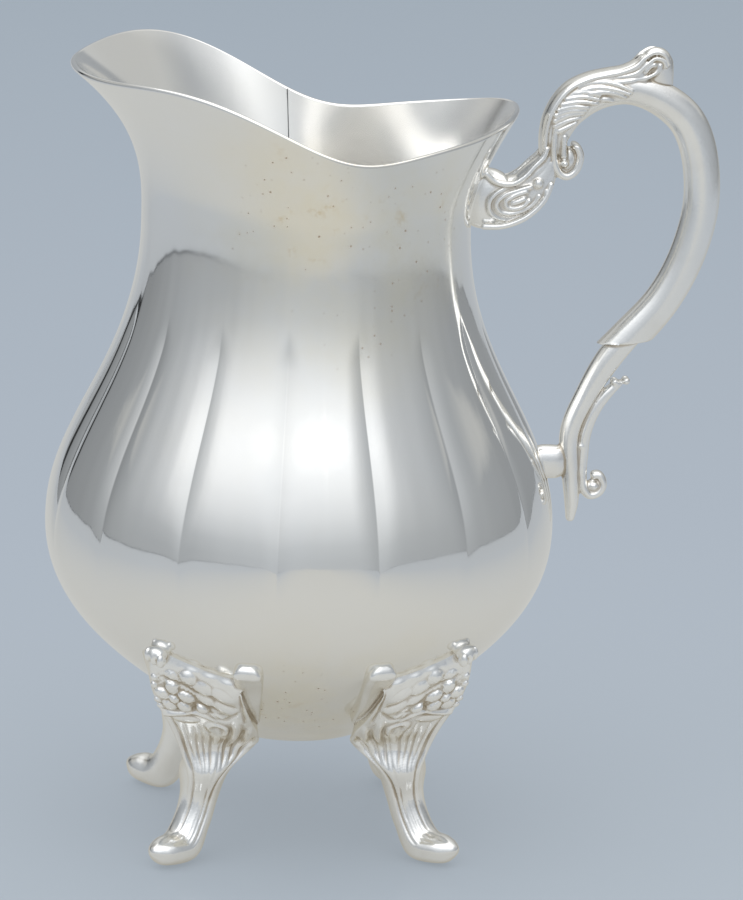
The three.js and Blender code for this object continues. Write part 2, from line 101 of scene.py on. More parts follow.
def spline(points: np.ndarray, count: int, guide: np.ndarray | None = None) -> np.ndarray:
    """Smooth curve through points: cubic pieces on chord lengths, with centred slopes.

    Args:
        points: k x d array.
        count: number of points to return.
        guide: places whose chord lengths set the pace; the first two columns if left out.
    Returns:
        Array of count x d.
    """
    p = np.asarray(points, float)
    pace = p[:, :2] if guide is None else guide
    knots = np.concatenate([[0], np.cumsum(np.linalg.norm(np.diff(pace, axis=0), axis=1))])
    slope = np.gradient(p, knots, axis=0)
    t = np.linspace(0, knots[-1], count)
    i = np.clip(np.searchsorted(knots, t, "right") - 1, 0, len(p) - 2)
    h = (knots[i + 1] - knots[i])[:, None]
    u = (t - knots[i])[:, None] / h
    return (
        (2 * u**3 - 3 * u**2 + 1) * p[i]
        + (u**3 - 2 * u**2 + u) * h * slope[i]
        + (3 * u**2 - 2 * u**3) * p[i + 1]
        + (u**3 - u**2) * h * slope[i + 1]
    )


def smoothstep(x: np.ndarray, low: float, high: float) -> np.ndarray:
    """Smooth rise from 0 at low to 1 at high."""
    t = np.clip((x - low) / (high - low), 0, 1)
    return t * t * (3 - 2 * t)


def grid_quads(rows: int, columns: int, wrap: bool) -> np.ndarray:
    """Quads of a grid of points stored row by row.

    Args:
        rows: number of rows.
        columns: number of points in a row.
        wrap: whether each row closes onto its first point.
    Returns:
        Array of quads x 4 indices.
    """
    r = np.arange(rows - 1)[:, None]
    c = np.arange(columns if wrap else columns - 1)[None, :]
    n = (c + 1) % columns
    corners = [r * columns + c, r * columns + n, (r + 1) * columns + n, (r + 1) * columns + c]
    return np.stack(corners, -1).reshape(-1, 4)


def mesh_object(name: str, points: np.ndarray, *faces: np.ndarray) -> Piece:
    """New object at the origin, shaded smooth.

    Args:
        name: name of the object.
        points: points x 3, in metres.
        faces: arrays of faces x corners.
    Returns:
        The object, which is linked to the scene.
    """
    mesh = bpy.data.meshes.new(name)
    mesh.from_pydata(points.tolist(), [], [face for group in faces for face in group.tolist()])
    mesh.polygons.foreach_set("use_smooth", np.ones(len(mesh.polygons), bool))
    mesh.update()
    piece = bpy.data.objects.new(name, mesh)
    bpy.context.scene.collection.objects.link(piece)
    return piece


def grid_normals(grid: np.ndarray) -> np.ndarray:
    """Unit normals of a grid of points that is closed in its second direction.

    Args:
        grid: rows x columns x 3, each row going round the axis against the clock.
    Returns:
        Array of the same shape, pointing outwards where rows go up.
    """
    along = np.gradient(grid, axis=0)
    around = (np.roll(grid, -1, 1) - np.roll(grid, 1, 1)) / 2
    normal = np.cross(around, along)
    return normal / np.maximum(np.linalg.norm(normal, axis=2, keepdims=True), 1e-12)


@dataclass
class Body:
    """Two fluted half shells that meet in seams at the sides, and the disc below them.

    Sizes are in millimetres. Waves of the rim are cosines of one, two, three ... turns. The span
    of the uneven skin is where it starts, where it is full, where it ends and how long it fades.
    """

    axis_x: float
    wall: float = 0.9
    base_z: float = 18.0
    opening_r: float = 9.0
    flat_r: float = 11.5
    heel_r: float = 14.5
    heel_z: float = 20.0
    heel_pull: tuple[float, float] = (29.0, 29.6)
    belly_r: float = 41.45
    belly_z: float = 52.0
    belly_pulls: tuple[float, float] = (14.0, 17.7)
    neck_r: float = 26.55
    neck_z: float = 102.0
    neck_pull: float = 24.0
    rim_r: float = 33.1
    rim_r_waves: tuple[float, ...] = (-4.1, 2.8, 2.35, -0.05, -0.35, 0.1)
    rim_z: float = 121.6
    rim_z_waves: tuple[float, ...] = (-5.2, 2.55, 2.25, -0.85, -0.2, 0.45)
    flare_power: float = 1.89
    flare_swing: float = 0.49
    flare_start: float = 0.15
    side_flare: tuple[float, float] = (0.27, 0.07)
    flutes: int = 16
    flute_slope: float = 0.27
    flute_half_widths: tuple[float, float, float] = (1.6, 3.7, 2.1)
    flute_span: tuple[float, float, float] = (45.0, 66.0, 90.5)
    flute_arch: float = 6.0
    flute_fades: tuple[float, float] = (19.0, 5.0)
    ripple: float = 0.008
    ripple_waves: Stations = ((47, 0.0, 0.05), (71, 1.3, -0.04), (31, 2.1, 0.0))
    uneven: float = 0.022
    uneven_waves: Stations = ((9, 0.6, 0.06), (13, 2.2, -0.09), (5, 0.0, 0.21))
    uneven_span: tuple[float, float, float, float] = (50.0, 62.0, 112.0, 25.0)
    seam_groove: float = 0.12
    matte_z: tuple[float, float] = (107.5, 104.5)
    satin: tuple[float, float] = (0.06, 0.24)
    satin_turn: tuple[float, float] = (-0.75, -0.2)
    disc_r: float = 12.2
    disc_thick: float = 1.0
    disc_gap: float = 0.3
    disc_dish: float = 0.25
    disc_sides: int = 96
    steps_per_flute: int = 28
    crowding: float = 0.72
    bead_rows: int = 5
    rows: dict[str, int] = field(
        default_factory=lambda: {"ledge": 3, "heel": 8, "lower": 52, "upper": 76, "flare": 44}
    )

    def profile(self) -> np.ndarray:
        """Skin from the base opening up to the neck: a flat ledge and three cubic curves.

        Returns:
            Array of points x 2: radius and height.
        """
        ledge = np.stack([
            np.linspace(self.opening_r, self.flat_r, self.rows["ledge"]),
            np.full(self.rows["ledge"], self.base_z)], 1)
        middle = (self.flat_r + self.heel_r) / 2
        heel = bezier([(self.flat_r, self.base_z), (middle, self.base_z),
                       (middle, self.base_z), (self.heel_r, self.heel_z)], self.rows["heel"])
        lower = bezier([(self.heel_r, self.heel_z), self.heel_pull,
                        (self.belly_r, self.belly_z - self.belly_pulls[0]),
                        (self.belly_r, self.belly_z)], self.rows["lower"])
        upper = bezier([(self.belly_r, self.belly_z),
                        (self.belly_r, self.belly_z + self.belly_pulls[1]),
                        (self.neck_r, self.neck_z - self.neck_pull),
                        (self.neck_r, self.neck_z)], self.rows["upper"])
        return np.concatenate([ledge, heel[1:], lower[1:], upper[1:]])

    def angles(self) -> np.ndarray:
        """Angles round the axis from the handle: even steps less a sine, so that valleys get more.

        Returns:
            Array of angles.
        """
        pitch = TURN / self.flutes
        q = np.arange(self.steps_per_flute) / self.steps_per_flute - 0.5
        step = pitch * (q - self.crowding * np.sin(TURN * q) / TURN)
        valleys = (np.arange(self.flutes) + 0.5) * pitch
        return (valleys[:, None] + step[None, :]).ravel()

    def waves(self, mean: float, swings: tuple[float, ...], angle: np.ndarray) -> np.ndarray:
        """A mean with cosine waves of one, two, three ... turns round the axis."""
        turns = np.arange(1, len(swings) + 1)[:, None]
        return mean + (np.asarray(swings)[:, None] * np.cos(turns * angle[None, :])).sum(0)

    def flute(self, r: np.ndarray, z: np.ndarray, angle: np.ndarray) -> np.ndarray:
        """Depth of the flutes: sharp valleys that start under a round top and narrow downwards.

        Across a flute the depth is the square of one minus the distance from the valley over
        the half width, times the slope at the valley. The half width is read between the foot,
        the belly and the top, and closes in an arch.

        Args:
            r: radii.
            z: heights.
            angle: angles round the axis.
        Returns:
            Depths.
        """
        pitch = TURN / self.flutes
        across = np.abs((angle / pitch) % 1 - 0.5) * pitch * r
        foot, _, top = self.flute_span
        arch = np.sqrt(np.clip((top - z) / self.flute_arch, 0, 1))
        half = np.interp(z, self.flute_span, self.flute_half_widths) * arch
        half = np.maximum(half, 0.05)
        rise, end = self.flute_fades
        fade = smoothstep(z, foot, foot + rise) * smoothstep(top - z, 0, end)
        return self.flute_slope / 2 * half * fade * np.clip(1 - across / half, 0, 1) ** 2

    def flare(self, t: np.ndarray, angle: np.ndarray) -> np.ndarray:
        """Share of the neck's widening: a curve at handle and lip, a bent line at the sides.

        The curve is an eased power of the height. The line is an arm of a hyperbola. They are
        mixed by the square of the angle's sine.

        Args:
            t: shares of the neck's height.
            angle: angles round the axis.
        Returns:
            Shares from 0 to 1.
        """
        eased = (1 + self.flare_start) * t**2 / (t + self.flare_start)
        curve = eased ** (self.flare_power - self.flare_swing * np.cos(angle))
        start, bend = self.side_flare
        low, here, high = (q - start + np.hypot(q - start, bend) for q in (0.0, t, 1.0))
        aside = np.sin(angle) ** 2
        return curve * (1 - aside) + (here - low) / (high - low) * aside

    def swell(self, waves: Stations, angle: np.ndarray, z: np.ndarray) -> np.ndarray:
        """Sum of sines: turns round the axis, start and climb per millimetre of height."""
        return sum(np.sin(turns * angle + start + climb * z) for turns, start, climb in waves)

    def skin(self) -> np.ndarray:
        """Outer skin: the profile and the widening neck, less the flutes, with faint waves.

        Returns:
            Rows from the base opening to the rim x columns round the axis x 3.
        """
        angle = self.angles()
        low = self.profile()
        r = np.repeat(low[:, :1], len(angle), 1)
        z = np.repeat(low[:, 1:], len(angle), 1)
        t = np.linspace(0, 1, self.rows["flare"] + 1)[1:, None]
        rim_r = self.waves(self.rim_r, self.rim_r_waves, angle)
        rim_z = self.waves(self.rim_z, self.rim_z_waves, angle)
        flare = self.flare(t, angle[None, :])
        r = np.concatenate([r, self.neck_r + (rim_r - self.neck_r) * flare])
        z = np.concatenate([z, self.neck_z + (rim_z - self.neck_z) * t])
        r = r - self.flute(r, z, angle[None, :])
        low_z, full_z, top_z, fade = self.uneven_span
        live = smoothstep(z, low_z, full_z) * smoothstep(top_z - z, 0, fade)
        r = r + self.ripple * live * self.swell(self.ripple_waves, angle, z)
        r = r + self.uneven * live * self.swell(self.uneven_waves, angle, z)
        return np.stack([r * np.cos(angle), r * np.sin(angle), z], 2)

    def side(self) -> tuple[np.ndarray, np.ndarray]:
        """Outline of the skin on the handle's side.

        Returns:
            Radius and height of points along it, and the normals there.
        """
        low = self.profile()[self.rows["ledge"]:]
        here = np.zeros(1)
        rim_r = self.waves(self.rim_r, self.rim_r_waves, here)[0]
        rim_z = self.waves(self.rim_z, self.rim_z_waves, here)[0]
        t = np.linspace(0, 1, 20)[1:]
        flare = np.stack([self.neck_r + (rim_r - self.neck_r) * self.flare(t, here),
                          self.neck_z + (rim_z - self.neck_z) * t], 1)
        line = spline(np.concatenate([low, flare]), 500)
        along = np.gradient(line, axis=0)
        along = along / np.linalg.norm(along, axis=1, keepdims=True)
        return line, np.stack([along[:, 1], -along[:, 0]], 1)

    def half(self, name: str, first: float) -> Piece:
        """One half shell as a closed surface.

        A row of the grid runs half way round; the rows go up the outside, over the round rim
        and down the inside, and strips at both seams join outside and inside.

        Args:
            name: name of the piece.
            first: angle of the first seam.
        Returns:
            The new piece.
        """
        outer = self.skin()
        normal = grid_normals(outer)
        inner = outer - normal * self.wall
        bead_turn = np.linspace(0, math.pi, self.bead_rows + 2)[1:-1, None, None]
        up = np.gradient(outer, axis=0)[-1]
        up = up / np.linalg.norm(up, axis=1, keepdims=True)
        bead_normal = np.cos(bead_turn) * normal[-1] + np.sin(bead_turn) * up
        bead = (outer[-1] + inner[-1]) / 2 + self.wall / 2 * bead_normal
        rows = np.concatenate([outer, bead, inner[::-1]])
        normals = np.concatenate([normal, bead_normal, -normal[::-1]])
        angle = self.angles()
        seam = np.argmin(np.abs(np.angle(np.exp(1j * (angle - first)))))
        count = len(angle) // 2 + 1
        columns = (seam + np.arange(count)) % len(angle)
        rows, normals = rows[:, columns], normals[:, columns]
        inside = len(outer) + len(bead)
        across = np.array([math.cos(first + math.pi / 2), math.sin(first + math.pi / 2), 0.0])
        rows[inside:, [0, -1]] += across * self.seam_groove
        total = len(rows)
        faces = grid_quads(total, count, False)
        last = (total - 1) * count
        c = np.arange(count - 1)
        foot = np.stack([last + c, last + c + 1, c + 1, c], 1)
        tip = (total - 1) // 2
        pair = np.arange(tip - 1)
        ends = [np.stack([pair * count + col, (pair + 1) * count + col,
                          (total - 2 - pair) * count + col, (total - 1 - pair) * count + col], 1)
                for col in (0, count - 1)]
        faces = np.concatenate([faces, foot, ends[0], ends[1][:, ::-1]])
        top = np.arange(tip - 1, tip + 2) * count
        tips = np.stack([top, top[::-1] + count - 1])
        points = rows.reshape(-1, 3) + np.array([self.axis_x, 0, 0])
        piece = mesh_object(name, points * MM, faces, tips)
        piece.data.normals_split_custom_set_from_vertices(normals.reshape(-1, 3).tolist())
        matte = np.zeros((total, count))
        least, more = self.satin
        satin = least + more * smoothstep(np.cos(angle[columns]), *self.satin_turn)
        matte[inside:] = np.maximum(smoothstep(rows[inside:, :, 2], *self.matte_z), satin)
        shares = piece.data.attributes.new("matte", "FLOAT", "POINT")
        shares.data.foreach_set("value", matte.ravel())
        return piece

    def bottom(self, name: str) -> Piece:
        """Disc on the body's ledge, dished a little: rings of points out below and back above.

        Args:
            name: name of the piece.
        Returns:
            The new piece.
        """
        low, sides = self.base_z + self.wall + self.disc_gap, self.disc_sides
        share = np.array([0.02, 0.3, 0.6, 0.85, 0.97, 1.0])
        dish = self.disc_dish * (1 - share**2)
        drop = np.array([0, 0, 0, 0, 0.02, 0.12])
        r = self.disc_r * np.concatenate([share, share[::-1]])
        z = np.concatenate([low + dish + drop, (low + self.disc_thick + dish - drop)[::-1]])
        ring = np.arange(sides)
        angle = ring / sides * TURN
        grid = np.stack([
            self.axis_x + r[:, None] * np.cos(angle), r[:, None] * np.sin(angle),
            np.repeat(z[:, None], sides, 1)], 2)
        middles = np.stack([ring[::-1], ring + (len(r) - 1) * sides])
        return mesh_object(name, grid.reshape(-1, 3) * MM, grid_quads(len(r), sides, True), middles)


def tube(stations: Stations | np.ndarray, rings: int, sides: int,
         square: float = 2.0) -> np.ndarray:
    """Oval section carried along a curve near the XZ plane, with round ends.

    A ring's point at angle a is the curve's point plus the in-plane normal times the half
    thickness times cos a, plus Y times the half width times sin a, both raised to the power
    that squares the section. The sizes shrink to nothing at both ends like a ball's.

    Args:
        stations: rows of x, z, half thickness, half width and, if the curve leaves the plane, y.
        rings: number of rings.
        sides: points in a ring.
        square: 2 for an oval, more for a squarer section.
    Returns:
        Grid of rings x sides x 3.
    """
    s = np.asarray(stations, float)
    if s.shape[1] == 4:
        s = np.concatenate([s, np.zeros((len(s), 1))], 1)
    s = spline(s, rings)
    along = np.gradient(s[:, :2], axis=0)
    step = np.linalg.norm(along, axis=1)
    along = along / step[:, None]
    travel = np.concatenate([[0], np.cumsum((step[1:] + step[:-1]) / 2)])
    end = np.minimum(travel / max(s[0, 2], 0.2), (travel[-1] - travel) / max(s[-1, 2], 0.2))
    swell = np.sqrt(1 - (1 - np.clip(end, 0, 1)) ** 2)[:, None]
    a = np.arange(sides) / sides * TURN
    cos = np.sign(np.cos(a)) * np.abs(np.cos(a)) ** (2 / square)
    sin = np.sign(np.sin(a)) * np.abs(np.sin(a)) ** (2 / square)
    thick = s[:, 2:3] * swell * cos
    wide = s[:, 3:4] * swell * sin
    return np.stack([
        s[:, 0:1] - along[:, 1:2] * thick,
        s[:, 4:5] + wide,
        s[:, 1:2] + along[:, 0:1] * thick], 2)


def dome(centre: tuple[float, float, float], radii: tuple[float, float, float]) -> np.ndarray:
    """Ball of three radii as a grid from pole to pole.

    Args:
        centre: its middle.
        radii: radii along X, Y and Z.
    Returns:
        Grid of rows x columns x 3.
    """
    u = np.linspace(0, math.pi, 18)[:, None]
    v = np.arange(28)[None, :] / 28 * TURN
    return np.stack([
        centre[0] + radii[0] * np.sin(u) * np.cos(v),
        centre[1] + radii[1] * np.sin(u) * np.sin(v),
        centre[2] + radii[2] * np.cos(u) + 0 * v], 2)


def corner_loops(stations: np.ndarray, counts: tuple[int, ...], soft: float) -> np.ndarray:
    """Sections of straight sides, evened out round their length with a bell curve.

    Args:
        stations: stations x corners x 3.
        counts: points on each side of a section.
        soft: width of the bell curve, in points.
    Returns:
        Loops of stations x points x 3.
    """
    following = np.roll(stations, -1, 1)
    sides = []
    for side, count in enumerate(counts):
        share = (np.arange(count) / count)[None, :, None]
        sides.append(stations[:, side:side + 1] * (1 - share) + following[:, side:side + 1] * share)
    loop = np.concatenate(sides, 1)
    bell = np.exp(-2 * (math.pi * soft * np.fft.rfftfreq(loop.shape[1])) ** 2)
    return np.fft.irfft(np.fft.rfft(loop, axis=1) * bell[None, :, None], loop.shape[1], axis=1)


def loft(loops: np.ndarray, rings: int) -> np.ndarray:
    """Skin through closed loops: each point runs along a smooth curve from loop to loop.

    Args:
        loops: loops x points x 3.
        rings: number of rings.
    Returns:
        Grid of rings x points x 3.
    """
    number, points = loops.shape[:2]
    return spline(loops.reshape(number, -1), rings, loops[:, 0]).reshape(rings, points, 3)


def capped(grid: np.ndarray) -> np.ndarray:
    """A grid with one more row at each end, drawn together in the middle of that end."""
    first, last = (np.repeat(grid[end].mean(0)[None, None], grid.shape[1], 1) for end in (0, -1))
    return np.concatenate([first, grid, last])


@dataclass(frozen=True)
class Stroke:
    """A raised or sunk line on an unrolled face, in millimetres from its corner."""

    course: Course
    height: float
    width: float
    samples: int = 140

    def lift(self, u: np.ndarray, v: np.ndarray) -> np.ndarray:
        """Height of the line: a bell curve of the distance to its course, thinner at the ends.

        Args:
            u: places across the face.
            v: places down the face.
        Returns:
            Heights.
        """
        line = spline(np.asarray(self.course), self.samples)
        gap = np.hypot(u[..., None] - line[:, 0], v[..., None] - line[:, 1])
        share = gap.argmin(-1) / (self.samples - 1)
        ends = np.sqrt(np.clip(np.minimum(share, 1 - share) * 5 + 0.08, 0, 1))
        return self.height * ends * np.exp(-(gap.min(-1) / (self.width * (0.5 + 0.5 * ends))) ** 2)


@dataclass(frozen=True)
class Mound:
    """An oval swelling on an unrolled face, in millimetres and degrees. Power 0.5 makes a ball."""

    middle: tuple[float, float]
    half: tuple[float, float]
    tilt: float
    height: float
    power: float = 0.5

    def lift(self, u: np.ndarray, v: np.ndarray) -> np.ndarray:
        """Height of the swelling: one less the squared distance in half lengths, to a power.

        Args:
            u: places across the face.
            v: places down the face.
        Returns:
            Heights.
        """
        c, s = math.cos(math.radians(self.tilt)), math.sin(math.radians(self.tilt))
        x, y = u - self.middle[0], v - self.middle[1]
        far = ((c * x + s * y) / self.half[0]) ** 2 + ((c * y - s * x) / self.half[1]) ** 2
        return self.height * np.clip(1 - far, 0, 1) ** self.power


@dataclass
class Casting:
    """Closed surfaces, in millimetres from the body axis, that are melted into one skin.

    The voxel is the fineness of the skin, the sink is how far the seat reaches into the body's
    wall, and relax is the number of rounds of evening out.
    """

    name: str
    body: Body
    voxel: float
    sink: float = 0.35
    relax: int = 1
    recess_rounds: int = 24
    recess_depth: float = 0.12
    batch: int = 8000
    points: list[np.ndarray] = field(default_factory=list)
    quads: list[np.ndarray] = field(default_factory=list)
    count: int = 0

    def add(self, grid: np.ndarray) -> None:
        """Adds a grid that is closed round its rows.

        Args:
            grid: rows x columns x 3.
        """
        rows, columns = grid.shape[:2]
        self.points.append(grid.reshape(-1, 3))
        self.quads.append(grid_quads(rows, columns, True) + self.count)
        self.count += rows * columns

    def both_sides(self, grid: np.ndarray) -> None:
        """Adds a grid and its mirror image on the other side of the XZ plane."""
        self.add(grid)
        self.add(grid * np.array([1.0, -1.0, 1.0]))

    def seated(self, points: np.ndarray) -> np.ndarray:
        """Brings points that lie too deep in the body back along its normals to its wall.

        Args:
            points: points x 3.
        Returns:
            Array of the same shape.
        """
        line, normal = self.body.side()
        place = np.stack([np.hypot(points[:, 0], points[:, 1]), points[:, 2]], 1)
        reach = np.interp(place[:, 1], line[:, 1], line[:, 0], left=0.0, right=0.0)
        inside = np.flatnonzero(place[:, 0] < reach)
        seat = points.copy()
        for part in np.array_split(inside, len(inside) // self.batch + 1):
            here = place[part]
            near = ((here[:, None] - line[None]) ** 2).sum(2).argmin(1)
            depth = ((here - line[near]) * normal[near]).sum(1)
            wall = line[near] - self.sink * normal[near]
            kept = np.where((depth < -self.sink)[:, None], wall, here)
            grow = kept[:, 0] / np.maximum(here[:, 0], 1e-6)
            seat[part] = np.stack([points[part, 0] * grow, points[part, 1] * grow, kept[:, 1]], 1)
        return seat

    def melt(self, turn: float = 0.0, hand: Hand = Hand.LEFT, floor: bool = False) -> Piece:
        """Melts the surfaces into one piece and marks its recesses.

        Args:
            turn: angle round the body axis, in degrees.
            hand: mirror image or not.
            floor: whether the piece is flattened on z = 0.
        Returns:
            The new piece, with a point attribute that is high in recesses.
        """
        points = self.seated(np.concatenate(self.points))
        points = points * np.array([1.0, hand.value, 1.0])
        a = math.radians(turn)
        spin = np.array([[math.cos(a), math.sin(a), 0], [-math.sin(a), math.cos(a), 0], [0, 0, 1]])
        points = points @ spin
        if floor:
            points[:, 2] = np.maximum(points[:, 2], 0)
        points = (points + np.array([self.body.axis_x, 0, 0])) * MM
        rough = mesh_object(self.name + "_rough", points, np.concatenate(self.quads))
        remesh = rough.modifiers.new("melt", "REMESH")
        remesh.mode = "VOXEL"
        remesh.voxel_size = self.voxel * MM
        remesh.use_smooth_shade = True
        even = rough.modifiers.new("even", "SMOOTH")
        even.factor = 0.5
        even.iterations = self.relax
        graph = bpy.context.evaluated_depsgraph_get()
        mesh = bpy.data.meshes.new_from_object(rough.evaluated_get(graph))
        bpy.data.objects.remove(rough)
        mesh.name = self.name
        self.drop_specks(mesh)
        co = np.empty(len(mesh.vertices) * 3)
        mesh.vertices.foreach_get("co", co)
        co = co.reshape(-1, 3)
        if floor:
            co[:, 2] = np.maximum(co[:, 2], 0)
            mesh.vertices.foreach_set("co", co.ravel())
        shares = mesh.attributes.new("recess", "FLOAT", "POINT")
        shares.data.foreach_set("value", self.recess(mesh, co))
        mesh.update()
        piece = bpy.data.objects.new(self.name, mesh)
        bpy.context.scene.collection.objects.link(piece)
        return piece

    def edge_ends(self, mesh: bpy.types.Mesh) -> np.ndarray:
        """Both ends of a mesh's edges.

        Args:
            mesh: the mesh.
        Returns:
            Array of 2 x edges: indices of points.
        """
        edges = np.empty(len(mesh.edges) * 2, np.int64)
        mesh.edges.foreach_get("vertices", edges)
        return edges.reshape(-1, 2).T

    def drop_specks(self, mesh: bpy.types.Mesh) -> None:
        """Removes what isn't joined to the largest skin: bubbles that the melting leaves inside.

        Each point takes the lowest number among its neighbours, and then that point's number,
        until all joined points share one.

        Args:
            mesh: the mesh to clean.
        """
        a, b = self.edge_ends(mesh)
        group, joined = None, np.arange(len(mesh.vertices))
        while group is None or not np.array_equal(group, joined):
            group, joined = joined, joined.copy()
            low = np.minimum(group[a], group[b])
            np.minimum.at(joined, group[a], low)
            np.minimum.at(joined, group[b], low)
            joined = joined[joined]
        specks = np.flatnonzero(group != np.bincount(group).argmax())
        skin = bmesh.new()
        skin.from_mesh(mesh)
        skin.verts.ensure_lookup_table()
        bmesh.ops.delete(skin, geom=[skin.verts[k] for k in specks], context="VERTS")
        skin.to_mesh(mesh)
        skin.free()

    def recess(self, mesh: bpy.types.Mesh, co: np.ndarray) -> np.ndarray:
        """How far the evened-out surface lies above each point.

        Args:
            mesh: the skin.
            co: its points.
        Returns:
            Shares from 0 to 1.
        """
        a, b = self.edge_ends(mesh)
        count = len(co)
        share = np.maximum(np.bincount(a, minlength=count) + np.bincount(b, minlength=count), 1)
        even = co
        for _ in range(self.recess_rounds):
            even = np.stack([
                (np.bincount(a, even[b, k], count) + np.bincount(b, even[a, k], count)) / share
                for k in range(3)], 1)
        normal = np.empty(count * 3)
        mesh.vertices.foreach_get("normal", normal)
        depth = ((even - co) * normal.reshape(-1, 3)).sum(1) / MM
        return np.clip(depth / self.recess_depth, 0, 1).astype(np.float32)


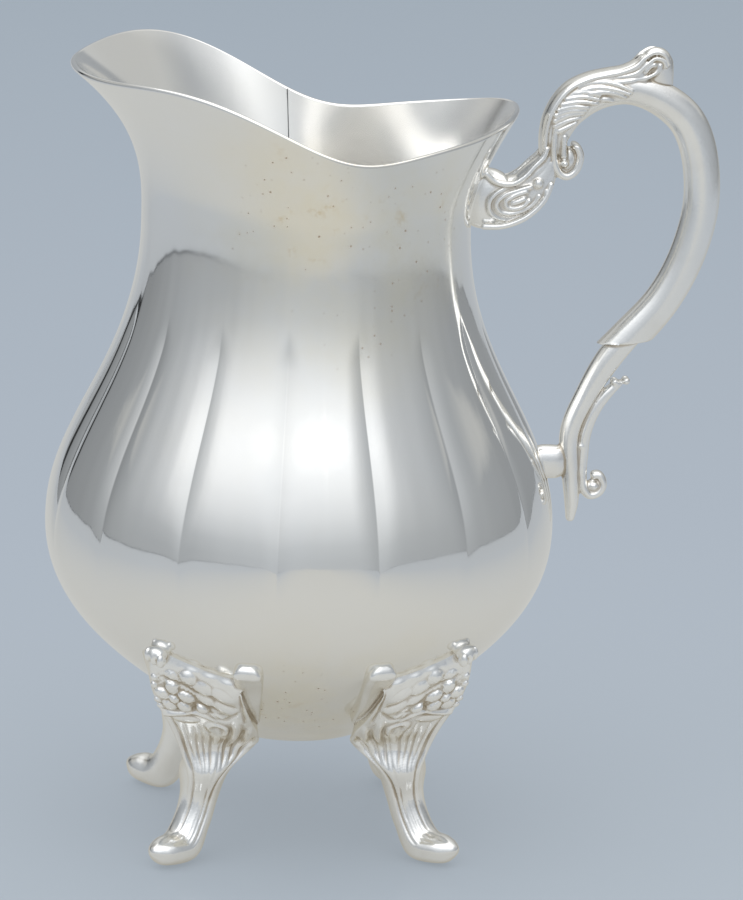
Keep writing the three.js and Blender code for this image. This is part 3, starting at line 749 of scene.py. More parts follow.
@dataclass
class Handle:
    """The handle's casting, in millimetres.

    Stations are x, z, half thickness and half width, and y where a line leaves the middle plane.
    Courses are x and z of strands on the cheeks. Knobs, beads and bosses are a middle and radii.
    """

    body: Body
    bow: Stations = (
        (39.7, 112.4, 1.3, 1.9), (40.55, 116.6, 2.1, 2.15), (42.3, 120.4, 2.95, 2.6),
        (45.85, 122.9, 2.95, 2.8), (51.05, 123.9, 2.7, 2.8), (60.85, 119.4, 2.95, 2.8),
        (64.6, 106.0, 2.95, 2.8), (63.1, 97.8, 2.95, 2.8), (58.9, 88.9, 2.95, 2.8),
        (53.4, 82.4, 3.15, 2.9), (48.6, 77.2, 3.3, 3.0))
    ledge_z: float = 81.75
    shank: Stations = (
        (55.55, 85.2, 1.9, 2.2), (50.35, 79.0, 2.1, 2.2), (46.85, 73.0, 1.75, 2.1),
        (44.35, 66.5, 1.6, 2.0), (44.65, 60.0, 1.4, 1.9), (45.05, 54.5, 1.1, 1.5),
        (44.85, 51.4, 0.6, 0.9))
    tendril: Stations = (
        (52.6, 75.2, 0.5, 0.9), (50.7, 73.6, 0.85, 1.2), (48.4, 70.6, 1.0, 1.4),
        (46.95, 66.8, 1.0, 1.4), (46.55, 62.5, 0.95, 1.3), (46.55, 59.5, 0.85, 1.4),
        (46.9, 57.2, 0.8, 1.45), (48.0, 56.0, 0.75, 1.45), (49.5, 56.5, 0.7, 1.45),
        (50.1, 57.9, 0.7, 1.45), (49.4, 59.3, 0.7, 1.4), (48.0, 59.2, 0.6, 1.3))
    curl: Stations = (
        (39.95, 118.4, 0.55, 2.35), (39.7, 115.8, 0.66, 2.35), (39.75, 113.0, 0.72, 2.35),
        (40.15, 111.2, 0.75, 2.3), (40.9, 110.0, 0.76, 2.3), (42.0, 109.6, 0.76, 2.3),
        (43.15, 110.2, 0.76, 2.25), (43.95, 111.7, 0.74, 2.2), (44.1, 113.2, 0.7, 2.15),
        (43.35, 114.4, 0.6, 2.05), (42.75, 114.4, 0.5, 1.9))
    strand: Stations = (
        (41.4, 116.9, 0.8, 2.3), (41.3, 114.6, 0.72, 2.3), (41.45, 112.2, 0.8, 2.45))
    rib: Stations = (
        (38.9, 109.6, 0.75, 2.2), (38.3, 113.4, 0.72, 2.3), (38.25, 116.4, 0.72, 2.4),
        (38.8, 119.2, 0.75, 2.45), (40.0, 121.7, 0.78, 2.45), (42.0, 124.0, 0.8, 2.45),
        (45.2, 125.6, 0.8, 2.4), (48.2, 126.3, 0.8, 2.35), (51.0, 126.8, 0.85, 2.3),
        (53.4, 127.8, 1.1, 2.25), (55.0, 128.9, 1.3, 2.2))
    bracket: Stations = (
        (24.55, 106.0, 6.1, 3.1), (29.75, 105.7, 5.0, 3.1), (33.05, 105.7, 3.9, 3.1),
        (36.25, 107.2, 3.2, 2.9), (38.45, 110.0, 2.2, 2.5), (39.45, 113.0, 1.2, 2.1))
    fingers: tuple[Course, ...] = (
        ((43.0, 124.2), (45.9, 125.0), (47.9, 125.1), (49.8, 124.7), (52.2, 123.7)),
        ((43.4, 123.6), (46.6, 124.3), (49.2, 124.0), (51.8, 123.2)),
        ((44.6, 123.2), (47.4, 123.6), (49.6, 123.3), (51.2, 122.6)),
        ((41.8, 123.0), (44.5, 123.5), (46.9, 123.1)),
        ((41.0, 122.1), (44.0, 122.8), (46.8, 122.4)),
        ((40.4, 121.2), (43.5, 122.0), (46.6, 121.7)),
        ((46.9, 122.4), (48.0, 122.4), (49.2, 122.0)),
        ((39.9, 120.3), (42.6, 121.2), (45.2, 121.0)),
        ((39.5, 119.4), (42.0, 120.5), (44.8, 120.5)),
        ((39.4, 118.5), (41.8, 119.8), (44.4, 120.1)),
        ((39.5, 117.6), (41.8, 118.9), (44.0, 119.4)),
        ((40.0, 116.9), (41.9, 117.9), (43.3, 118.6)))
    waves: tuple[Course, ...] = (
        ((47.7, 126.2), (50.5, 126.8), (52.7, 127.8), (54.1, 129.2), (55.8, 130.0), (57.2, 129.5),
         (58.0, 127.8)),
        ((49.3, 125.8), (52.7, 126.6), (54.5, 128.1), (55.8, 129.0), (57.0, 128.6), (57.6, 127.4)),
        ((48.8, 125.1), (52.4, 125.5), (54.7, 126.0), (56.1, 126.9), (56.6, 128.2)),
        ((54.0, 126.6), (54.8, 127.6), (55.8, 128.1)))
    loops: tuple[Course, ...] = (
        ((35.6, 107.5), (32.9, 106.5), (31.9, 105.7), (32.1, 104.9), (32.9, 104.6), (34.6, 104.9),
         (36.0, 106.1)),
        ((36.3, 108.2), (33.9, 107.5), (31.3, 106.5), (30.4, 105.3), (31.0, 104.1), (32.6, 103.7),
         (34.6, 104.1), (36.6, 105.4), (37.6, 106.9)),
        ((33.6, 108.0), (32.2, 107.9), (30.3, 107.1), (29.2, 105.5), (29.5, 103.9), (31.2, 102.8),
         (33.6, 102.9), (36.0, 104.0), (38.0, 106.0), (38.7, 107.8)))
    eye: Stations = (
        (32.6, 105.4, 0.5, 0.7, 2.75), (34.0, 105.8, 0.55, 0.8, 2.8), (35.3, 106.4, 0.45, 0.7, 2.7))
    borders: tuple[Stations, ...] = (
        ((28.2, 110.6, 0.5, 0.6, 2.9), (30.4, 108.9, 0.5, 0.6, 3.0), (33.0, 108.7, 0.5, 0.6, 3.0),
         (34.8, 109.7, 0.5, 0.6, 2.75), (36.5, 111.4, 0.5, 0.6, 2.4), (38.0, 112.9, 0.5, 0.6, 2.15),
         (38.7, 114.6, 0.4, 0.5, 2.0)),
        ((28.0, 101.6, 0.5, 0.6, 2.9), (31.5, 101.7, 0.5, 0.6, 3.0), (35.4, 103.2, 0.5, 0.6, 2.9),
         (38.2, 105.8, 0.5, 0.6, 2.5), (39.6, 108.8, 0.45, 0.5, 2.1)))
    thumb_web: Stations = (
        (56.2, 130.2, 2.3, 1.9), (56.4, 127.6, 2.6, 2.15), (56.5, 125.6, 2.6, 1.9),
        (56.5, 123.4, 2.5, 1.3), (56.4, 121.0, 2.2, 0.8))
    leaf_core: Stations = (
        (40.4, 119.2, 0.9, 2.2), (42.6, 122.6, 1.25, 2.45), (46.0, 124.3, 1.5, 2.45),
        (52.0, 125.3, 1.9, 2.35), (55.5, 126.4, 2.0, 2.2))
    rib_core: Stations = (
        (39.5, 120.6, 0.8, 2.1), (38.95, 116.2, 0.85, 2.1), (39.1, 111.6, 0.85, 2.0))
    horn: Stations = (
        (34.0, 107.4, 1.7, 2.6), (36.4, 109.6, 1.8, 2.5), (38.4, 111.7, 1.5, 2.3),
        (39.2, 113.6, 1.0, 2.1))
    thumb_knob: Stations = ((56.2, 0, 127.95), (2.6, 2.2, 2.6))
    curl_bosses: tuple[Stations, ...] = (
        ((42.0, 0, 112.0), (2.05, 1.7, 2.3)), ((41.5, 0, 111.8), (0.95, 2.85, 0.95)))
    horn_bead: Stations = ((37.2, 2.5, 108.6), (0.85, 0.8, 0.85))
    stem: Stations = ((37.4, 61.6, 2.8, 2.2), (42.2, 61.6, 2.75, 2.1), (44.6, 61.4, 2.6, 1.7))
    scroll_bosses: tuple[Stations, ...] = (
        ((48.5, 0, 57.6), (1.0, 1.75, 1.0)), ((46.2, 0, 64.4), (0.7, 1.5, 0.7)))
    tip_beads: tuple[Stations, ...] = (
        ((53.3, 0.6, 75.3), (0.62, 0.75, 0.62)), ((51.4, 0.6, 75.1), (0.62, 0.75, 0.62)))
    finger_size: tuple[float, float, float] = (0.48, 0.28, 0.4)
    wave_size: tuple[float, float, float] = (0.36, 0.36, 0.4)
    loop_size: tuple[float, float, float] = (0.4, 0.36, 0.5)
    shaft_voxel: float = 0.2
    leaf_voxel: float = 0.138
    bow_rings: int = 460
    leaf_rings: tuple[int, int] = (100, 150)
    least_side: float = 2.05

    def half_width(self, below: Stations, x: np.ndarray, z: np.ndarray) -> np.ndarray:
        """Half width of the bow or bracket beside points: an oval of their distance to its line.

        Args:
            below: stations of the bow or bracket.
            x: places along X.
            z: heights.
        Returns:
            Half widths.
        """
        line = spline(np.asarray(below), 300)
        gap = np.hypot(x[:, None] - line[None, :, 0], z[:, None] - line[None, :, 1])
        near = gap.argmin(1)
        q = np.clip(gap.min(1) / line[near, 2], 0, 0.98)
        return line[near, 3] * np.sqrt(1 - q**2)

    def sleeve(self) -> np.ndarray:
        """The bow down to its slanting ledge: a tube whose low end is cut off flat.

        Returns:
            Grid of rings x sides x 3.
        """
        bow = tube(self.bow, self.bow_rings, 72)
        ledge = self.ledge_z + 0.08 * (bow[..., 0] - 51)
        low = np.linspace(0, 1, self.bow_rings)[:, None] > 0.75
        bow[..., 2] = np.where(low, np.maximum(bow[..., 2], ledge), bow[..., 2])
        return bow

    def shaft(self, name: str) -> Piece:
        """Melts the plain bow, the shank, the tendril and the stem.

        Args:
            name: name of the piece.
        Returns:
            The new piece.
        """
        cast = Casting(name, self.body, self.shaft_voxel, relax=2)
        cast.add(capped(self.sleeve()[self.leaf_rings[0]:]))
        for stations, square in ((self.shank, 2.2), (self.tendril, 2.4)):
            cast.add(tube(stations, 260, 48, square))
        cast.add(tube(self.stem, 90, 40, 2.4))
        for boss in self.scroll_bosses:
            cast.add(dome(*boss))
        for bead in self.tip_beads:
            cast.both_sides(dome(*bead))
        return cast.melt()

    def ornament(self, name: str) -> Piece:
        """Melts the leaf on the bow, the rib, the thumb-piece, the upper scroll and the bracket.

        Args:
            name: name of the piece.
        Returns:
            The new piece.
        """
        cast = Casting(name, self.body, self.leaf_voxel)
        first, last = self.leaf_rings
        upper = self.sleeve()[:last]
        middle = upper.mean(1, keepdims=True)
        grow = np.interp(np.arange(last), [0, first, last - 1], [1.004, 1.004, 0.99])
        cast.add(capped(middle + (upper - middle) * grow[:, None, None]))
        for stations, square in (
                (self.curl, 2.6), (self.strand, 2.2), (self.rib, 2.0), (self.bracket, 2.4)):
            cast.add(tube(stations, 260, 48, square))
        for course in self.fingers:
            self.relief(cast, self.bow, course, self.finger_size)
        for course in self.waves:
            self.relief(cast, self.bow, course, self.wave_size)
        cast.add(dome(*self.thumb_knob))
        cast.add(tube(self.thumb_web, 80, 48))
        cast.add(tube(self.leaf_core, 120, 48, 4.0))
        cast.add(tube(self.rib_core, 80, 32))
        cast.add(tube(self.horn, 80, 40))
        for boss in self.curl_bosses:
            cast.add(dome(*boss))
        cast.both_sides(dome(*self.horn_bead))
        for course in self.loops:
            self.relief(cast, self.bracket, course, self.loop_size)
        cast.both_sides(tube(self.eye, 60, 20))
        for stations in self.borders:
            cast.both_sides(tube(stations, 90, 20))
        return cast.melt()

    def relief(self, cast: Casting, below: Stations, course: Course,
               size: tuple[float, float, float]) -> None:
        """Adds a raised strand on both sides of the bow or bracket: a thin tube along its cheek.

        Args:
            cast: the casting to add to.
            below: stations of the bow or bracket.
            course: x and z along the strand.
            size: half thickness at its start and end, and half width across the cheek.
        """
        root, tip, height = size
        line = spline(np.asarray(course), 24)
        side = np.maximum(self.half_width(below, line[:, 0], line[:, 1]), self.least_side)
        thick = np.linspace(root, tip, len(line))
        stations = np.column_stack([line, thick, np.full(len(line), height), side - 0.05])
        cast.both_sides(tube(stations, 90, 20))


@dataclass
class Foot:
    """One foot's casting in its own upright plane: x outwards, y to the long wing, z up.

    Sections of five corners run down it: the outer ridge, the middle of the face, the edge of the
    long wing, the back and the short wing. Below the calf they turn into the shin's ovals, given
    by x, y, z, half thickness and half width. Ornament is placed on the unrolled face, in
    millimetres from the ridge and from the crest.
    """

    body: Body
    top_lift: float = -0.3
    top_z: tuple[float, float, float] = (38.7, 36.3, 34.1)
    calf_z: tuple[float, float, float] = (28.7, 26.5, 24.3)
    calf_lift: tuple[float, float, float] = (6.8, 5.0, 3.2)
    wing_angle: float = 25.5
    crest_angle: float = 3.0
    short_angle: tuple[float, float] = (4.0, 9.0)
    short_z: tuple[float, float] = (37.8, 26.0)
    short_lift: float = 0.6
    back_lift: float = -0.6
    face_bulge: float = 0.6
    calf_base_z: float = 19.2
    calf_radii: tuple[float, float, float, float] = (28.9, 19.6, 16.5, 22.8)
    calf_angles: tuple[float, float] = (22.0, 7.2)
    shin: Stations = (
        (23.5, 0.8, 14.8, 4.05, 4.0), (23.85, 0.1, 10.4, 3.05, 3.15), (25.3, 0.0, 6.5, 2.85, 3.05),
        (28.4, 0.0, 2.72, 2.92, 3.3), (32.0, 0.0, 2.8, 2.3, 2.8), (34.0, 0.0, 3.1, 1.3, 1.6),
        (34.8, 0.0, 3.2, 0.5, 0.6), (34.95, 0.0, 3.2, 0.05, 0.05))
    corner_angles: tuple[float, ...] = (0.0, 50.0, 100.0, 190.0, 270.0, 360.0)
    band_z: tuple[float, float] = (37.5, 24.3)
    band_angle: tuple[float, float] = (27.5, 21.5)
    band_half: float = 2.45
    band_lift: float = 1.5
    knob: Stations = ((37.1, 2.2, 37.6), (1.6, 1.9, 1.4))
    knob_ribs: Course = ((-1.0, 0.95), (0.3, 1.0), (1.6, 0.9))
    corner_soft: float = 3.2
    band_soft: float = 8.0
    voxel: float = 0.158
    rings: int = 400
    deepest: float = -0.55
    border: tuple[float, float, float] = (0.15, 1.7, 0.6)
    stipple: tuple[float, float] = (0.09, 7.5)
    counts: tuple[int, ...] = (62, 62, 30, 34, 30)
    mounds: tuple[Mound, ...] = (
        Mound((5.9, 7.6), (1.45, 1.2), 10, 0.9), Mound((5.0, 10.3), (1.2, 1.4), -30, 0.9),
        Mound((2.5, 10.4), (1.2, 1.4), 30, 0.9), Mound((1.9, 8.2), (1.4, 1.15), -15, 0.9),
        Mound((3.7, 6.3), (1.15, 1.4), 0, 0.9), Mound((3.8, 8.5), (0.95, 0.95), 0, 1.1),
        Mound((8.2, 9.5), (1.0, 1.0), 0, 1.0), Mound((6.4, 3.3), (1.5, 1.5), 12, 0.75, 1.0),
        Mound((9.0, 4.6), (2.0, 1.8), 20, 0.6, 1.2), Mound((12.2, 5.0), (2.4, 1.9), 25, 0.55, 1.2),
        Mound((9.4, 7.2), (2.0, 1.5), 30, 0.55, 1.2), Mound((12.0, 8.2), (2.4, 1.9), 40, 0.6, 1.2),
        Mound((3.6, 3.9), (1.2, 1.0), 0, 0.4, 1.0),
        Mound((0.8, 5.4), (0.6, 0.6), 0, 0.5), Mound((0.7, 6.9), (0.6, 0.6), 0, 0.5),
        Mound((0.6, 10.0), (0.6, 0.6), 0, 0.5), Mound((0.7, 11.4), (0.6, 0.6), 0, 0.5),
        Mound((4.0, 13.8), (2.3, 0.9), -12, 0.35), Mound((10.1, 11.3), (1.0, 0.8), 40, 0.4))
    strokes: tuple[Stroke, ...] = (
        Stroke(((0.1, 13.8), (2.1, 13.0), (4.2, 12.2), (6.2, 11.3), (7.8, 11.7),
                (9.1, 13.0)), 0.5, 0.42),
        Stroke(((6.8, 16.6), (7.3, 14.8), (8.5, 13.9), (9.8, 14.5), (9.6, 16.1),
                (8.7, 17.6)), 0.5, 0.42),
        Stroke(((13.3, 11.6), (11.5, 15.4), (9.8, 18.6), (8.0, 21.7)), 0.55, 0.55),
        Stroke(((14.9, 13.6), (12.8, 17.3), (10.8, 20.7), (8.8, 23.0)), 0.5, 0.5),
        Stroke(((14.7, 18.0), (13.0, 20.7), (10.8, 22.7)), 0.45, 0.45),
        Stroke(((0.1, 14.2), (0.0, 18.0), (0.0, 26.0), (0.0, 33.0)), 0.2, 0.6),
        Stroke(((1.4, 14.2), (1.2, 18.3), (1.0, 24.3), (0.9, 31.7), (0.7, 34.0),
                (0.5, 36.5)), -0.38, 0.3),
        Stroke(((3.0, 15.2), (2.2, 19.3), (1.9, 24.3), (1.6, 30.5), (1.4, 34.5),
                (1.3, 38.5)), -0.2, 0.26),
        Stroke(((4.3, 16.0), (3.3, 20.3), (2.6, 24.3), (2.1, 30.5), (1.9, 34.0),
                (1.9, 37.0)), -0.24, 0.28),
        Stroke(((5.6, 15.0), (4.4, 19.9), (3.5, 24.3), (2.7, 30.0), (2.5, 34.0),
                (2.5, 39.0)), -0.2, 0.26),
        Stroke(((6.6, 16.0), (5.7, 19.9), (4.3, 24.3), (3.2, 29.9), (3.1, 34.0),
                (3.1, 37.5)), -0.24, 0.3),
        Stroke(((8.6, 18.0), (7.0, 21.1), (5.3, 25.0), (3.5, 29.9), (3.2, 33.8)), -0.2, 0.28),
        Stroke(((11.1, 14.4), (9.2, 18.5), (7.4, 22.0), (5.8, 25.6)), -0.42, 0.34),
        Stroke(((13.0, 15.0), (11.1, 18.5), (9.2, 21.6), (7.0, 25.0)), -0.42, 0.34),
        Stroke(((13.9, 17.7), (12.0, 20.5), (9.9, 23.0), (7.6, 25.5), (5.6, 27.6), (4.3, 30.2),
                (3.9, 33.7), (3.9, 37.0)), -0.4, 0.32),
        Stroke(((1.6, 4.6), (3.6, 4.9), (5.8, 5.2), (7.6, 5.7), (8.6, 5.4)), -0.25, 0.3),
        Stroke(((9.7, 5.6), (11.4, 5.9), (13.0, 6.9), (14.3, 7.3)), -0.25, 0.26),
        Stroke(((9.9, 8.0), (10.6, 9.0), (12.0, 9.0)), -0.25, 0.26),
        Stroke(((0.1, 12.4), (2.3, 12.1), (4.4, 11.5), (6.3, 10.6), (7.0, 8.9)), -0.35, 0.3),
        Stroke(((9.4, 10.3), (10.7, 12.3), (12.6, 10.8), (14.3, 8.6)), -0.4, 0.36),
        Stroke(((15.0, 1.4), (15.2, 4.7), (14.8, 8.6), (14.2, 12.2)), -0.4, 0.36))

    def flank(self, z: np.ndarray, out: np.ndarray) -> tuple[np.ndarray, np.ndarray]:
        """Points on the body's flank, moved out along its normal.

        Args:
            z: heights on the flank.
            out: distances from it.
        Returns:
            Radii and heights.
        """
        low = self.body.profile()[self.body.rows["ledge"]:]
        slope = np.gradient(low, axis=0)
        slope = slope / np.linalg.norm(slope, axis=1, keepdims=True)
        columns = (low[:, 0], slope[:, 0], slope[:, 1])
        r, slope_r, slope_z = (np.interp(z, low[:, 1], column) for column in columns)
        return r + slope_z * out, z - slope_r * out

    def beside(self, place: tuple[np.ndarray, np.ndarray], degrees: np.ndarray) -> np.ndarray:
        """Points at radii and heights, turned round the body axis towards the long wing."""
        a = np.radians(degrees)
        return np.stack([place[0] * np.cos(a), place[0] * np.sin(a), place[1] + 0 * a], -1)

    def knee(self) -> np.ndarray:
        """Stations of the knee: corners off the body's flank, from the crest down to the calf.

        Returns:
            Stations x corners x 3.
        """
        share = np.array([0, 0.13, 0.4, 0.7, 1])
        rise, quick, turned = share**0.6, share**0.25, np.array([1, 0.7, 0.2, 0, 0])
        flat = 0 * share
        angles = (self.crest_angle * turned, self.wing_angle / 2 + flat, self.wing_angle + flat)
        rows = []
        for corner, pace in enumerate((rise, rise, quick)):
            z = self.top_z[corner] + (self.calf_z[corner] - self.top_z[corner]) * share
            lift = self.top_lift + (self.calf_lift[corner] - self.top_lift) * pace
            rows.append(self.beside(self.flank(z, lift), angles[corner]))
        back_z = self.top_z[1] + (self.calf_z[2] - self.top_z[1]) * share
        rows.append(self.beside(self.flank(back_z, self.back_lift + flat), 0.85 * angles[2]))
        short_z = self.short_z[0] + (self.short_z[1] - self.short_z[0]) * share
        short_turn = self.short_angle[1] + (self.short_angle[0] - self.short_angle[1]) * turned
        short_lift = self.top_lift + (self.short_lift - self.top_lift) * share**2
        rows.append(self.beside(self.flank(short_z, short_lift), -short_turn))
        return np.stack(rows, 1)

    def calf(self) -> np.ndarray:
        """Station of the leg below the knee: corners at one height.

        Returns:
            One station x corners x 3.
        """
        wing, short = self.calf_angles
        turns = (0.0, wing, wing / 3, -short)
        ridge, edge, back, short_edge = (
            self.beside((np.array([r]), np.array([self.calf_base_z])), np.array([turn]))
            for r, turn in zip(self.calf_radii, turns))
        middle = (ridge + edge) / 2 + np.array([0, self.face_bulge, 0])
        return np.stack([ridge, middle, edge, back, short_edge], 1)

    def toe(self) -> np.ndarray:
        """Oval sections across a bent line from the ankle to the toe's tip.

        Returns:
            Loops of sections x points x 3.
        """
        x, y, z, thick, wide = (column[:, None] for column in np.asarray(self.shin).T)
        along = np.gradient(np.concatenate([x, z], 1), axis=0)
        along = along / np.linalg.norm(along, axis=1, keepdims=True)
        parts = zip(self.corner_angles, self.corner_angles[1:], self.counts)
        turn = np.radians(np.concatenate([
            np.linspace(first, last, count, endpoint=False)
            for first, last, count in parts]))[None, :]
        out, aside = thick * np.cos(turn), wide * np.sin(turn)
        return np.stack([x - along[:, 1:] * out, y + aside, z + along[:, :1] * out], 2)

    def leg(self) -> np.ndarray:
        """Knee, calf and toe, with the face moved along its normals by mounds and strokes.

        Returns:
            Grid of rings x points x 3.
        """
        corners = np.concatenate([self.knee(), self.calf()])
        loops = np.concatenate([corner_loops(corners, self.counts, self.corner_soft), self.toe()])
        grid = loft(loops, self.rings)
        columns = self.counts[0] + self.counts[1]
        face = grid[:, :columns + 1]
        steps = np.linalg.norm(np.diff(face, axis=1), axis=2)
        u = np.concatenate([np.zeros((len(grid), 1)), np.cumsum(steps, 1)], 1)
        ridge = np.linalg.norm(np.diff(loops[:, 0], axis=0), axis=1).sum()
        v = np.linspace(0, ridge, len(grid))[:, None] + 0 * u
        raised = np.maximum.reduce([m.lift(u, v) for m in self.mounds]
                                   + [s.lift(u, v) for s in self.strokes if s.height > 0])
        sunk = np.minimum(sum(s.lift(u, v) for s in self.strokes if s.height < 0), 0)
        height, place, width = self.border
        border = height * np.exp(-((v - place) / width) ** 2) * (1 + 0.6 * np.sin(2.1 * u))
        border = border * smoothstep(u, 4.0, 5.0)
        height, pace = self.stipple
        stipple = height * np.sin(pace * u) * np.sin(pace * v) * smoothstep(u, 8.5, 7.0)
        stipple = stipple * smoothstep(v, 2.5, 3.5) * smoothstep(v, 11.2, 10.2)
        ends = smoothstep(u, 0.0, 0.3) * smoothstep(u[:, -1:] - u, 0.0, 0.5)
        ends = ends * smoothstep(v, 0.0, 1.2)
        lift = np.zeros(grid.shape[:2])
        lift[:, :columns + 1] = (raised + np.maximum(sunk, self.deepest) + border + stipple) * ends
        normal = grid_normals(grid)
        out = grid - grid.mean(1, keepdims=True)
        normal = normal * np.sign((normal * out).sum())
        return capped(grid + normal * lift[:, :, None])

    def band(self) -> np.ndarray:
        """Band along the end of the long wing, close to the body, with a round top.

        Returns:
            Grid of rings x points x 3.
        """
        share = np.array([0, 0.02, 0.07, 0.15, 0.35, 0.65, 1])
        z = self.band_z[0] + (self.band_z[1] - self.band_z[0]) * share
        raised = np.array([0.1, 0.7, 1.1, 1.0, 0.75, 0.9, 0.85])
        outside = self.flank(z, self.band_lift * raised)
        inside = self.flank(z, self.back_lift + 0 * share)
        middle = self.band_angle[0] + (self.band_angle[1] - self.band_angle[0]) * share**2
        rounded = np.array([0.3, 0.65, 0.95, 1.0, 0.9, 0.72, 0.5])
        half = np.degrees(self.band_half * rounded / outside[0])
        stations = np.stack([
            self.beside(outside, middle - half), self.beside(outside, middle + half),
            self.beside(inside, middle + half), self.beside(inside, middle - half)], 1)
        return capped(loft(corner_loops(stations, (40, 26, 40, 26), self.band_soft), 120))

    def build(self, name: str, turn: float, hand: Hand) -> Piece:
        """Melts leg, band and crest knob into one foot.

        Args:
            name: name of the piece.
            turn: angle of the foot round the body axis, in degrees.
            hand: side of the long wing.
        Returns:
            The new piece.
        """
        cast = Casting(name, self.body, self.voxel)
        cast.add(self.leg())
        cast.add(self.band())
        cast.add(dome(*self.knob))
        x, y, z = self.knob[0]
        for place, size in self.knob_ribs:
            middle = (x + 0.7, y + place, z - 0.3 - 0.25 * place)
            cast.add(dome(middle, (size, 0.6, 1.3 * size)))
        return cast.melt(turn, hand, floor=True)


class Graph:
    """Small helper that adds and links shader nodes."""

    def __init__(self, tree: bpy.types.NodeTree) -> None:
        """Empties the tree and keeps it."""
        self.tree = tree
        tree.nodes.clear()

    def add(self, kind: str, inputs: dict | None = None, **settings: object) -> bpy.types.Node:
        """Adds a node, sets its properties, and sets or links its inputs.

        Args:
            kind: node type.
            inputs: value or output socket for each input, by name or number.
            settings: properties of the node.
        Returns:
            The node.
        """
        node = self.tree.nodes.new(kind)
        for key, value in settings.items():
            setattr(node, key, value)
        for key, value in (inputs or {}).items():
            if isinstance(value, Socket):
                self.tree.links.new(value, node.inputs[key])
            else:
                node.inputs[key].default_value = value
        return node

    def ramp(self, value: Socket, stops: list[tuple[float, Colour]]) -> Socket:
        """Colours read between stops.

        Args:
            value: where to read.
            stops: places from 0 to 1 and their colours.
        Returns:
            The colour.
        """
        node = self.add("ShaderNodeValToRGB", {0: value})
        band = node.color_ramp
        band.elements[0].position, band.elements[1].position = stops[0][0], stops[-1][0]
        for place, _ in stops[1:-1]:
            band.elements.new(place)
        for element, (_, colour) in zip(band.elements, stops):
            element.color = (*colour, 1)
        return node.outputs[0]

    def grey(self, value: Socket, low: float, high: float,
             to_low: float = 0.0, to_high: float = 1.0) -> Socket:
        """Value mapped from one range to another and clamped."""
        inputs = {0: value, 1: low, 2: high, 3: to_low, 4: to_high}
        return self.add("ShaderNodeMapRange", inputs).outputs[0]

    def math(self, operation: str, a: Socket | float, b: Socket | float = 0.0) -> Socket:
        """One sum of two values."""
        return self.add("ShaderNodeMath", {0: a, 1: b}, operation=operation).outputs[0]

    def times(self, a: Socket, b: Socket | float) -> Socket:
        """Product of two values."""
        return self.math("MULTIPLY", a, b)

    def mix(self, share: Socket | float, a: Socket | Colour, b: Socket | Colour,
            blend: str = "MIX") -> Socket:
        """Two colours mixed, multiplied or added.

        Args:
            share: how much of the second colour.
            a: first colour.
            b: second colour.
            blend: kind of mix.
        Returns:
            The colour.
        """
        a, b = (c if isinstance(c, Socket) else (*c, 1) for c in (a, b))
        inputs = {0: share, 6: a, 7: b}
        return self.add("ShaderNodeMix", inputs, data_type="RGBA", blend_type=blend).outputs[2]

    def noise(self, where: Socket, scale: float, detail: float, roughness: float = 0.5) -> Socket:
        """Cloudy noise."""
        inputs = {"Vector": where, "Scale": scale, "Detail": detail, "Roughness": roughness}
        return self.add("ShaderNodeTexNoise", inputs).outputs[0]

    def cells(self, where: Socket, scale: float, channel: int) -> tuple[Socket, Socket]:
        """Scattered points, each with a random colour.

        Args:
            where: coordinates.
            scale: points per metre, about.
            channel: channel of the colour to read.
        Returns:
            Distance to the nearest point, and that point's number from 0 to 1.
        """
        spots = self.add("ShaderNodeTexVoronoi", {"Vector": where, "Scale": scale})
        parts = self.add("ShaderNodeSeparateColor", {0: spots.outputs["Color"]})
        return spots.outputs["Distance"], parts.outputs[channel]


@dataclass(frozen=True)
class TarnishReflectionPatch:
    """A spot round a point, in metres: yellowish tarnish with brown specks, together with a painted
    warm reflection of the table in front.
    """

    place: tuple[float, float, float]
    radius: float
    strength: float


